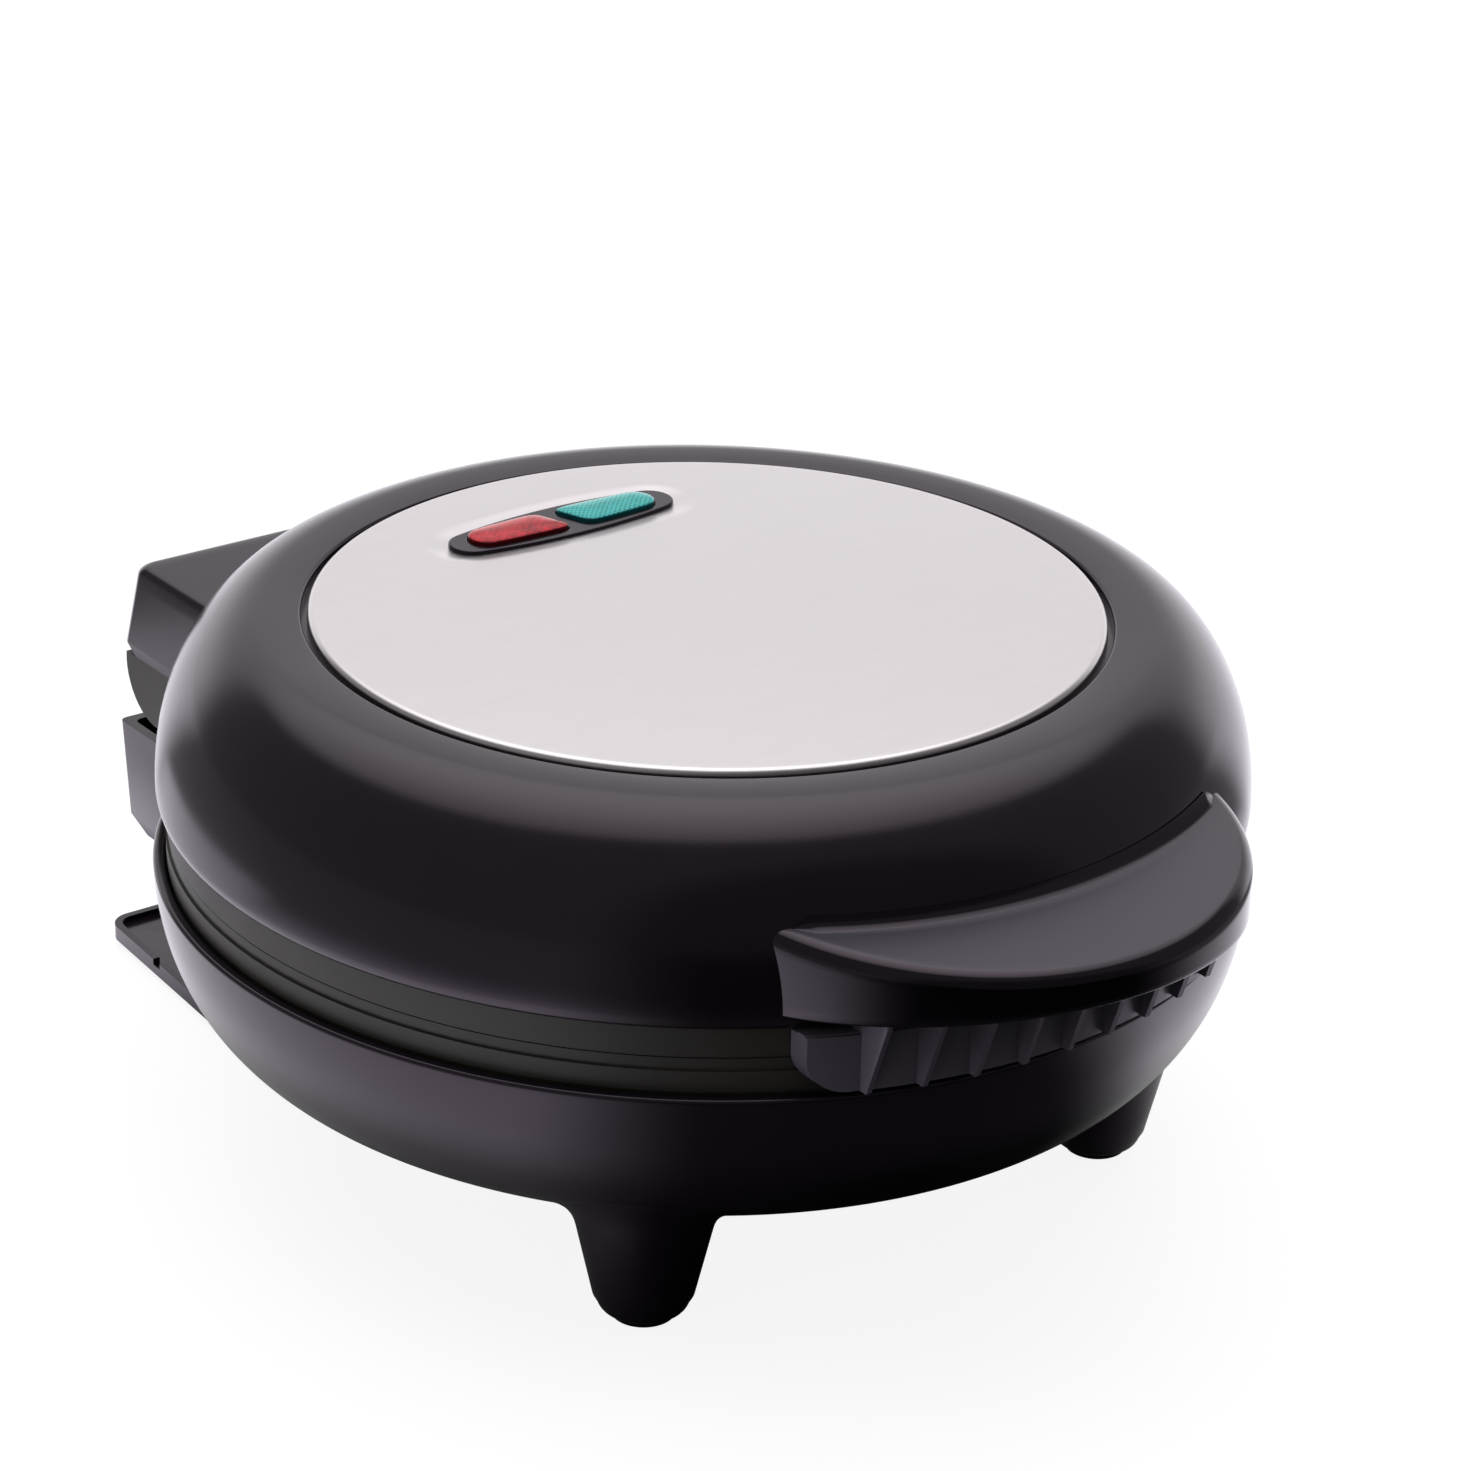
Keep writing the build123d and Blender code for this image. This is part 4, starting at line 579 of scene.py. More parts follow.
# Nylon of terminal and lamp trays: cream, waxy, with slight clouding.
NYLON_CREAM = MouldedPlastic("nylon_cream_moulded", "#cfc8b2", "#ddd7c4", 0.4, 0.5, 0.8, 0.004)
# Silicone rubber of the pads and the bush: dull black that hardly reflects.
SILICONE_BLACK = MouldedPlastic(
    "silicone_rubber_moulded", "#141414", "#1d1c1b", 0.6, 0.75, 0.7, 0.01, ior=1.42
)
# Non-stick coat sprayed on cast aluminium: dark grey with a fine pebbled sheen.
PTFE_COAT = MouldedPlastic(
    "ptfe_coat_on_cast_aluminium", "#1d1d1f", "#2a2a2c", 0.32, 0.42, 0.45, 0.012, ior=1.38
)
# Satin stainless steel of the cover disc: very fine belt lines, a bright and even sheen.
STAINLESS_SATIN = BrushedMetal(
    "stainless_steel_satin_brushed", "#e0dadd", "#e3dde0", 0.29, 0.33, 0.35, 26.0, 0.0003
)
# Oxidised steel of the heating rod, straps and thermostat: warm grey, half dull.
STEEL_ROD = BrushedMetal("steel_heating_rod_drawn", "#6f6a62", "#8d877c", 0.35, 0.5, 0.5, 6.0, 0.003)
# Zinc-plated steel of screws and pins: light, slightly milky shine.
STEEL_ZINC = BrushedMetal("steel_zinc_plated", "#b9bbbd", "#d0d2d3", 0.22, 0.34, 0.3, 0.6, 0.002)
# Aluminium sheet of the heat shields: pale rolled finish with faint lines.
ALUMINIUM_SHEET = BrushedMetal("aluminium_sheet_rolled", "#c4c5c7", "#d6d7d8", 0.3, 0.42, 0.4, 12.0, 0.002)
# Acrylic lamp lenses: clear colour with a prism pattern that sparkles, painted lighter on top and deeper
# towards the steep rim as painted light and shade.
ACRYLIC_RED = TintedLens("acrylic_red_prismatic", "#5a0811", "#d4202f", 1.2, 0.02, 3.0, 0.8, "#ffb4b8")
ACRYLIC_GREEN = TintedLens("acrylic_green_prismatic", "#06585c", "#36c4c0", 0.85, 0.05, 2.0, 0.3, "#c8ffff")


Finish = MouldedPlastic | BrushedMetal | TintedLens


class Finishes:
    """Makes each finish once and hands it out."""

    def __init__(self) -> None:
        """Start with nothing made."""
        self.made: dict[str, bpy.types.Material] = {}

    def get(self, finish: Finish) -> bpy.types.Material:
        """Give the material of a finish.

        Args:
            finish: The finish to make or look up.

        Returns:
            Its material.
        """
        if finish.name not in self.made:
            self.made[finish.name] = finish.make()
        return self.made[finish.name]

    def dress(self, piece: bpy.types.Object, finish: Finish) -> None:
        """Give a new piece its finish.

        Args:
            piece: The piece.
            finish: Its finish.
        """
        piece.data.materials.clear()
        piece.data.materials.append(self.get(finish))
        log.info("%s: %d faces, %s", piece.name, len(piece.data.polygons), finish.name)

    def dress_node(self, node: str, finish: Finish) -> None:
        """Give a solid of the frame its finish.

        Args:
            node: Name of the solid.
            finish: Its finish.
        """
        material = self.get(finish)
        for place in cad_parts[node].material_slots:
            place.material = material
        log.info("%s: as in the frame, %s", node, finish.name)


# The pieces


@dataclass
class LidDome:
    """Lid housing: the dome, its groove round the disc, and the hinge cover."""

    edge_z: float = 73.3
    belly_z: float = 76.0
    deck_z: float = 109.6
    edge_r: float = 105.8
    belly_r: float = 107.2
    deck_r: float = 86.2
    groove_r: float = 78.6
    groove_round: float = 0.7
    seat_z: float = 107.3
    seat_in_r: float = 62.0
    wall: float = 2.4
    cover_half_w: float = 62.5
    cover_front_y: float = 80.0
    cover_top_z: float = 94.0
    cover_top_y: float = 113.5
    cover_lip_z: float = 75.2
    cover_lip_y: float = 119.6
    cover_foot_y: float = 116.7
    cover_corner_r: float = 4.0
    cover_edge_r: float = 2.0
    cover_level_gap: float = 0.5
    cover_level_steps: int = 6
    cover_edge_turns: Flat = (15.0, 90.0)
    cover_edge_steps: int = 5
    cover_corner_steps: int = 8
    shoulder_steps: int = 48
    lip_steps: int = 8
    groove_steps: int = 5
    steps: int = 360

    def shoulder(self, inset: float) -> list[Flat]:
        """Radius and height along the dome from deck to belly, drawn in by inset."""
        radii = (self.belly_r - self.deck_r - inset, self.deck_z - self.belly_z - inset)
        return arc((self.deck_r, self.belly_z), radii, 90, 0, self.shoulder_steps)

    def profile(self) -> list[Flat]:
        """Section of the dome wall.

        Returns:
            Radius and height, from the disc's seat round the outside to the inner ceiling.
        """
        lip_radii = (self.belly_r - self.edge_r, self.belly_z - self.edge_z)
        lip = arc((self.edge_r, self.belly_z), lip_radii, 0, -90, self.lip_steps)
        groove = arc(
            (self.groove_r + self.groove_round, self.deck_z - self.groove_round),
            (self.groove_round, self.groove_round), 180, 90, self.groove_steps,
        )
        ceiling = self.seat_z - self.wall
        inside = [p for p in reversed(self.shoulder(self.wall)) if p[1] < ceiling]
        return [
            (self.seat_in_r, self.seat_z), (self.groove_r, self.seat_z), *groove,
            *self.shoulder(0), *lip, (self.edge_r - self.wall, self.edge_z), *inside,
            (inside[-1][0] - 1, ceiling), (self.seat_in_r, ceiling), (self.seat_in_r, self.seat_z),
        ]

    def cover_path(self, rear_y: float, inset: float, corner: float) -> list[Flat]:
        """Plan of the hinge cover at one level, its sides drawn in, open towards the dome."""
        half_w = self.cover_half_w - inset
        return open_path(half_w, self.cover_front_y, rear_y, corner, self.cover_corner_steps)

    def cover_level(self, z: float) -> float:
        """Place of the cover's rear wall at a height."""
        share = (z - self.cover_lip_z) / (self.cover_top_z - self.cover_lip_z)
        return mix(self.cover_lip_y, self.cover_top_y, share)

    def cover(self, shell: Shell) -> None:
        """Add the hinge cover's walls and top.

        Args:
            shell: The mesh to add to.
        """
        top = self.cover_top_z - self.cover_edge_r
        levels = [(self.edge_z, self.cover_foot_y, 0.0), (self.cover_lip_z, self.cover_lip_y, 0.0)]
        start = self.cover_lip_z + self.cover_level_gap
        levels += [(z, self.cover_level(z), 0.0) for z in spread(start, top, self.cover_level_steps)]
        for turn in spread(*self.cover_edge_turns, self.cover_edge_steps):
            inset = self.cover_edge_r * (1 - math.cos(math.radians(turn)))
            z = top + self.cover_edge_r * math.sin(math.radians(turn))
            levels.append((z, self.cover_level(z) - inset, inset))
        rows = [
            raised(self.cover_path(rear, inset, self.cover_corner_r - inset / 2), z)
            for z, rear, inset in levels
        ]
        shell.grid(rows)
        shell.cap(rows[-1])
        inner_top = self.cover_top_z - self.wall
        inner = [
            raised(self.cover_path(rear - self.wall, self.wall, self.cover_corner_r / 2), z)
            for z, rear in (
                (self.edge_z, self.cover_foot_y), (self.cover_lip_z, self.cover_lip_y),
                (inner_top, self.cover_level(inner_top)),
            )
        ]
        shell.grid([rows[0], *inner])
        shell.cap(inner[-1])

    def build(self, finishes: Finishes) -> None:
        """Make the lid housing.

        Args:
            finishes: Where the finish comes from.
        """
        shell = Shell()
        shell.lathe(self.profile(), self.steps)
        inside_x = self.cover_half_w - self.wall
        inside_z = self.cover_top_z - self.wall
        shell.drop(lambda p: abs(p.x) < inside_x and p.y > self.cover_front_y and p.z < inside_z)
        self.cover(shell)
        piece = shell.build("lid_dome_and_hinge_cover", Body.LID)
        finishes.dress(piece, ABS_BLACK)
        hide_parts("lid_housing")


@dataclass
class BaseBody:
    """Base housing: bowl, front feet, bracket below the hinge, and the stand's neck."""

    rim_z: float = 60.0
    under_z: float = 25.0
    rim_r: float = 108.0
    floor_r: float = 83.0
    wall: float = 2.4
    rim_round: float = 0.8
    bracket_half_w: float = 63.0
    bracket_front_y: float = 70.0
    bracket_top: Flat = (120.0, 56.8)
    bracket_knee: Flat = (117.5, 36.5)
    bracket_heel: Flat = (111.0, 33.9)
    bracket_wall: float = 2.3
    bracket_corner_r: float = 1.6
    foot_x: float = 56.0
    foot_y: float = -59.0
    foot_tip_r: float = 8.9
    foot_top_r: float = 14.2
    foot_tip_z: float = 1.4
    foot_round: float = 2.6
    foot_round_end: float = -12.0
    foot_round_steps: int = 7
    foot_side_steps: int = 4
    foot_flare: float = 5.5
    foot_flare_steps: int = 9
    foot_overlap: float = 0.05
    foot_tries: int = 30
    foot_steps: int = 72
    neck_half_w: float = 34.0
    neck_front_y: float = 76.0
    neck_rear_y: float = 100.0
    neck_corner_r: float = 6.0
    neck_foot_z: float = 3.5
    neck_overlap: float = 1.0
    neck_steps: int = 8
    cut_step: float = 0.01
    round_steps: int = 5
    bowl_steps: int = 48
    inside_steps: int = 24
    steps: int = 360

    def under(self, radius: float) -> float:
        """Height of the bowl's outer surface.

        Args:
            radius: Distance from the bowl's axis.

        Returns:
            The height.
        """
        if radius <= self.floor_r:
            return self.under_z
        share = min((radius - self.floor_r) / (self.rim_r - self.floor_r), 1.0)
        return self.rim_z - (self.rim_z - self.under_z) * math.sqrt(1 - share * share)

    def profile(self) -> list[Flat]:
        """Section of the bowl.

        Returns:
            Radius and height, from the middle of its underside round the rim to its inside.
        """
        centre = (self.floor_r, self.rim_z)
        depth = self.rim_z - self.under_z
        width = self.rim_r - self.floor_r
        outside = arc(centre, (width, depth), -90, 0, self.bowl_steps)[:-1]
        inner = (width - self.wall, depth - self.wall)
        inside = arc(centre, inner, 0, -90, self.inside_steps)[1:]
        outside = [p for p in outside if p[1] < self.rim_z - self.rim_round]
        top = self.rim_z - self.rim_round
        radii = (self.rim_round, self.rim_round)
        rim_out = arc((self.rim_r - self.rim_round, top), radii, 0, 90, self.round_steps)
        rim_in = arc((self.rim_r - self.wall + self.rim_round, top), radii, 90, 180, self.round_steps)
        return [
            (0.0, self.under_z), (self.floor_r / 2, self.under_z), *outside, *rim_out, *rim_in,
            *[p for p in inside if p[1] < top], (0.0, self.under_z + self.wall),
        ]

    def bowl(self, shell: Shell) -> None:
        """Add the bowl, its rim cut down where the hinge is.

        Args:
            shell: The mesh to add to.
        """
        half = math.degrees(math.asin(self.bracket_half_w / self.rim_r))
        marks = [90 + side * half + off for side in (-1, 1) for off in (-self.cut_step, self.cut_step)]
        turns = sorted([360 * i / self.steps for i in range(self.steps)] + marks)
        cut_z = self.bracket_top[1]
        rows = []
        for r, z in self.profile():
            row = []
            for turn in turns:
                low = min(z, cut_z) if marks[1] <= turn <= marks[2] else z
                a = math.radians(turn)
                row.append((r * math.cos(a), r * math.sin(a), low))
            rows.append(row)
        shell.grid(rows, wrap=True)

    def bracket_path(self, rear_y: float, inset: float) -> list[Flat]:
        """Plan of the bracket at one level, its sides drawn in, open towards the bowl."""
        half_w = self.bracket_half_w - inset
        return open_path(half_w, self.bracket_front_y, rear_y, self.bracket_corner_r, self.round_steps)

    def bracket(self, shell: Shell) -> None:
        """Add the open bracket behind the bowl.

        Args:
            shell: The mesh to add to.
        """
        wall = self.bracket_wall
        outer = [self.bracket_top, self.bracket_knee, self.bracket_heel]
        inner = [(self.bracket_top[0] - wall, self.bracket_top[1])]
        inner += [(self.bracket_knee[0] - wall, self.bracket_knee[1] + wall / 2)]
        inner += [(self.bracket_heel[0] - wall / 2, self.bracket_heel[1] + wall)]
        out_rows = [raised(self.bracket_path(rear, 0.0), z) for rear, z in outer]
        in_rows = [raised(self.bracket_path(rear, wall), z) for rear, z in inner]
        shell.grid([*reversed(out_rows), *in_rows])
        shell.cap(out_rows[-1])
        shell.cap(in_rows[-1])

    def foot_r(self, z: float) -> float:
        """Radius of a foot's cone at a height."""
        slope = (self.foot_top_r - self.foot_tip_r) / (self.under_z - self.foot_tip_z)
        return self.foot_tip_r + slope * (z - self.foot_tip_z)

    def foot(self, shell: Shell, side: Side) -> None:
        """Add one front foot, flared into the bowl.

        Args:
            shell: The mesh to add to.
            side: Which of the two feet.
        """
        x0, y0 = side.value * self.foot_x, self.foot_y
        tip = arc(
            (self.foot_tip_r - self.foot_round, self.foot_tip_z + self.foot_round),
            (self.foot_round, self.foot_round), -90, self.foot_round_end, self.foot_round_steps,
        )
        side_z = self.foot_tip_z + self.foot_round + 1
        columns = []
        for turn in spread(0, 360, self.foot_steps)[:-1]:
            dx, dy = math.cos(math.radians(turn)), math.sin(math.radians(turn))

            def ground(r: float) -> float:
                """Height of the bowl at a distance from the foot's axis."""
                return self.under(math.hypot(x0 + r * dx, y0 + r * dy))

            meet = self.under_z
            for _ in range(self.foot_tries):
                meet = ground(self.foot_r(meet))
            low = meet - self.foot_flare
            column = [(0.0, self.foot_tip_z), *tip]
            column += [(self.foot_r(z), z) for z in spread(side_z, low, self.foot_side_steps)]
            end_r = self.foot_r(meet) + self.foot_flare
            column += bend(
                (self.foot_r(low), low), (self.foot_r(meet), meet),
                (end_r, ground(end_r) + self.foot_overlap), self.foot_flare_steps,
            )
            columns.append([(x0 + r * dx, y0 + r * dy, z) for r, z in column])
        rows = [list(row) for row in zip(*columns)]
        shell.grid(rows, wrap=True)

    def neck(self, shell: Shell) -> None:
        """Add the neck between the bowl and the rear stand.

        Args:
            shell: The mesh to add to.
        """
        corner, side = self.neck_corner_r, self.neck_half_w
        plan: list[Flat] = []
        for cx, cy, start in (
            (side - corner, self.neck_rear_y - corner, 0),
            (-side + corner, self.neck_rear_y - corner, 90),
            (-side + corner, self.neck_front_y + corner, 180),
            (side - corner, self.neck_front_y + corner, 270),
        ):
            plan += arc((cx, cy), (corner, corner), start, start + 90, self.neck_steps)
        top = self.bracket_heel[1] + self.neck_overlap
        rows = [raised(plan, z) for z in (self.neck_foot_z, top)]
        shell.grid(rows, wrap=True)
        shell.cap(rows[0])

    def build(self, finishes: Finishes) -> None:
        """Make the base housing.

        Args:
            finishes: Where the finish comes from.
        """
        shell = Shell()
        self.bowl(shell)
        self.bracket(shell)
        self.neck(shell)
        for side in Side:
            self.foot(shell, side)
        piece = shell.build("base_bowl_feet_and_bracket", Body.BASE)
        finishes.dress(piece, ABS_BLACK)
        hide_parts("base_housing")


def oval_radii(half_l: float, half_w: float, end_share: float) -> Flat:
    """Radii of a pointed oval's ends and of its sides."""
    end_r = 2 * half_w * end_share
    return end_r, ((half_l - end_r) ** 2 / (half_w - end_r) + end_r + half_w) / 2


def oval_radius(angle: float, half_l: float, half_w: float, end_share: float = END_SHARE) -> float:
    """Distance from the middle of a pointed oval to its edge.

    Args:
        angle: Direction in radians.
        half_l: Half its length.
        half_w: Half its width.
        end_share: Radius of its ends as a share of its width.

    Returns:
        The distance along that direction.
    """
    end_r, side_r = oval_radii(half_l, half_w, end_share)
    dx, dy = abs(math.cos(angle)), abs(math.sin(angle))
    drop = side_r - half_w
    reach = -drop * dy + math.sqrt(side_r ** 2 - (drop * dx) ** 2)
    lean = math.sqrt((side_r - end_r) ** 2 - drop ** 2) / (side_r - end_r)
    if reach * dx > side_r * lean:
        off = half_l - end_r
        reach = off * dx + math.sqrt(max(end_r ** 2 - (off * dy) ** 2, 0.0))
    return reach


def oval_gap(x: float, y: float, half_l: float, half_w: float, end_share: float = END_SHARE) -> float:
    """Distance from a point to the edge of a pointed oval, below 0 inside.

    Args:
        x: Place along the oval, from its middle.
        y: Place across the oval, from its middle.
        half_l: Half its length.
        half_w: Half its width.
        end_share: Radius of its ends as a share of its width.

    Returns:
        The distance.
    """
    end_r, side_r = oval_radii(half_l, half_w, end_share)
    drop, off = side_r - half_w, half_l - end_r
    x, y = abs(x), abs(y)
    if x * drop > off * (y + drop):
        return math.hypot(x - off, y) - end_r
    return math.hypot(x, y + drop) - side_r


@dataclass
class LampWindow:
    """Black bezel and the two lamp lenses in the cover disc."""

    middle_y: float = 49.5
    top_z: float = 110.31
    bezel_half_l: float = 26.5
    bezel_half_w: float = 7.25
    bezel_h: float = 0.9
    bezel_round: float = 0.4
    bezel_round_steps: int = 4
    bridge: float = 3.6
    bridge_lean: float = 0.35
    side_margin: float = 2.2
    end_margin: float = 4.2
    lens_end_share: float = 0.42
    lens_gap: float = 0.3
    lens_rise: float = 1.4
    lens_edge: float = 0.5
    lens_foot: float = 2.4
    lens_shift: float = 1.0
    lens_start: float = 0.1
    lens_turns: Flat = (4.0, 84.0)
    lens_rows: int = 20
    lens_narrowing: float = 0.98
    corner: float = 6.0
    halvings: int = 30
    sharp: float = 30.0
    steps: int = 96

    def outline(self, inset: float) -> list[Flat]:
        """Outline of the bezel.

        Args:
            inset: Distance drawn in.

        Returns:
            Points round the bezel.
        """
        loop = []
        for i in range(2 * self.steps):
            a = 2 * math.pi * i / (2 * self.steps)
            r = oval_radius(a, self.bezel_half_l - inset, self.bezel_half_w - inset)
            loop.append((r * math.cos(a), self.middle_y + r * math.sin(a)))
        return loop

    def lens_loop(self, side: Side, inset: float) -> list[Flat]:
        """Outline of one lens, its inner end straight and its corners a little round.

        Args:
            side: Which lens.
            inset: Distance drawn in.

        Returns:
            Points round the lens.
        """
        near = self.bridge / 2 + inset
        half_l = self.bezel_half_l - self.end_margin - inset
        half_w = self.bezel_half_w - self.side_margin - inset
        mid = (near + half_l) / 2 - self.lens_shift
        lean = -side.value * self.bridge_lean
        loop = []
        for i in range(self.steps):
            a = 2 * math.pi * i / self.steps
            dx, dy = math.cos(a), math.sin(a)
            low, high = 0.0, half_l
            for _ in range(self.halvings):
                r = (low + high) / 2
                x, y = mid + r * dx, r * dy
                edge = oval_radius(math.atan2(y, x), half_l, half_w, self.lens_end_share)
                low, high = (r, high) if math.hypot(x, y) < edge else (low, r)
            toward = lean * dy - dx
            to_bridge = (mid - near) / toward if toward > LEAST_SLOPE else FAR
            reach = (low ** -self.corner + to_bridge ** -self.corner) ** (-1 / self.corner)
            loop.append((side.value * (mid + reach * dx), self.middle_y + reach * dy))
        return loop

    def bezel(self, finishes: Finishes) -> None:
        """Make the bezel as a rounded plate with two windows.

        Args:
            finishes: Where the finish comes from.
        """
        curve = bpy.data.curves.new("bezel_outline", "CURVE")
        curve.dimensions = "2D"
        curve.fill_mode = "BOTH"
        curve.bevel_depth = self.bezel_round * MM
        curve.bevel_resolution = self.bezel_round_steps
        curve.extrude = (self.bezel_h - self.bezel_round) * MM
        loops = [self.outline(self.bezel_round)]
        for side in Side:
            loops.append(self.lens_loop(side, -self.bezel_round / 2))
        for loop in loops:
            spline = curve.splines.new("POLY")
            spline.points.add(len(loop) - 1)
            for point, (x, y) in zip(spline.points, loop):
                point.co = (x * MM, y * MM, 0.0, 1.0)
            spline.use_cyclic_u = True
        holder = bpy.data.objects.new("bezel_curve", curve)
        bpy.context.scene.collection.objects.link(holder)
        mesh = bpy.data.meshes.new_from_object(holder.evaluated_get(bpy.context.evaluated_depsgraph_get()))
        bpy.data.objects.remove(holder)
        mesh.transform(Matrix.Translation((0, 0, self.top_z * MM)))
        piece = show("lamp_window_bezel", mesh, self.sharp)
        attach(piece, Body.LID.value)
        finishes.dress(piece, ABS_BLACK)
        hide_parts("lamp_bezel")

    def lens(self, side: Side, finishes: Finishes) -> None:
        """Make one domed lens.

        Args:
            side: Which lens.
            finishes: Where the finish comes from.
        """
        rim = self.top_z + self.bezel_h
        low, height = rim + self.lens_edge, self.lens_rise - self.lens_edge
        deep = self.bezel_half_w - self.side_margin - self.lens_gap
        loop = self.lens_loop(side, self.lens_gap)
        rows = [raised(loop, rim - self.lens_foot), raised(loop, low - self.lens_start)]
        for turn in spread(*self.lens_turns, self.lens_rows):
            a = math.radians(turn)
            inset = self.lens_gap + deep * (1 - math.cos(a)) * self.lens_narrowing
            rows.append(raised(self.lens_loop(side, inset), low + height * math.sin(a)))
        shell = Shell()
        shell.grid(rows, wrap=True)
        shell.cap(rows[-1])
        shell.cap(rows[0])
        red = side is Side.LEFT
        piece = shell.build("red_lamp_lens" if red else "green_lamp_lens", Body.LID)
        finishes.dress(piece, ACRYLIC_RED if red else ACRYLIC_GREEN)
        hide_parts("red_lens" if red else "green_lens")

    def build(self, finishes: Finishes) -> None:
        """Make the bezel and both lenses.

        Args:
            finishes: Where the finishes come from.
        """
        self.bezel(finishes)
        for side in Side:
            self.lens(side, finishes)


@dataclass
class CoverDisc:
    """Steel cover disc: shallow dome, rolled edge, soft well round the lamp window."""

    window: LampWindow
    radius: float = 77.4
    edge_z: float = 110.3
    crown: float = 1.2
    edge_round: float = 1.3
    seat_z: float = 107.3
    well_reach: float = 5.5
    well_depth: float = 0.6
    hole_inset: float = 1.4
    edge_turn: float = 80.0
    edge_rows: int = 8
    sharp: float = 60.0
    middle_r: float = 0.01
    first_r: float = 0.8
    rows: int = 96
    steps: int = 480

    def surface(self, x: float, y: float) -> float:
        """Height of the disc's face, with the well.

        Args:
            x: Place across the disc.
            y: Place from front to rear.

        Returns:
            The height.
        """
        share = (x * x + y * y) / (self.radius ** 2)
        z = self.edge_z + self.crown * (1 - share)
        gap = oval_gap(x, y - self.window.middle_y, self.window.bezel_half_l, self.window.bezel_half_w)
        t = min(max(1 - gap / self.well_reach, 0.0), 1.0)
        return z - self.well_depth * t * t * (3 - 2 * t)

    def in_window(self, p: Vector) -> bool:
        """Tell whether a point lies in the disc's cut-out under the bezel.

        Args:
            p: The point.

        Returns:
            True in the cut-out.
        """
        dy = p.y - self.window.middle_y
        half_l, half_w = (w - self.hole_inset for w in (self.window.bezel_half_l, self.window.bezel_half_w))
        return math.hypot(p.x, dy) < oval_radius(math.atan2(dy, p.x), half_l, half_w)

    def build(self, finishes: Finishes) -> None:
        """Make the disc.

        Args:
            finishes: Where the finish comes from.
        """
        flat_r = self.radius - self.edge_round
        rows = [
            [(x, y, self.surface(x, y)) for x, y, _ in ring(r, 0.0, self.steps)]
            for r in [self.middle_r, *spread(self.first_r, flat_r, self.rows)]
        ]
        drop_z = self.edge_z + self.crown * (1 - (flat_r / self.radius) ** 2)
        radii = (self.edge_round, self.edge_round)
        fall = arc((flat_r, drop_z - self.edge_round), radii, self.edge_turn, 0, self.edge_rows)
        rows += [ring(r, z, self.steps) for r, z in [*fall, (self.radius, self.seat_z)]]
        shell = Shell()
        shell.grid(rows, wrap=True)
        shell.drop(self.in_window)
        piece = shell.build("steel_disc", Body.LID, self.sharp)
        finishes.dress(piece, STAINLESS_SATIN)
        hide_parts("steel_cover_disc")


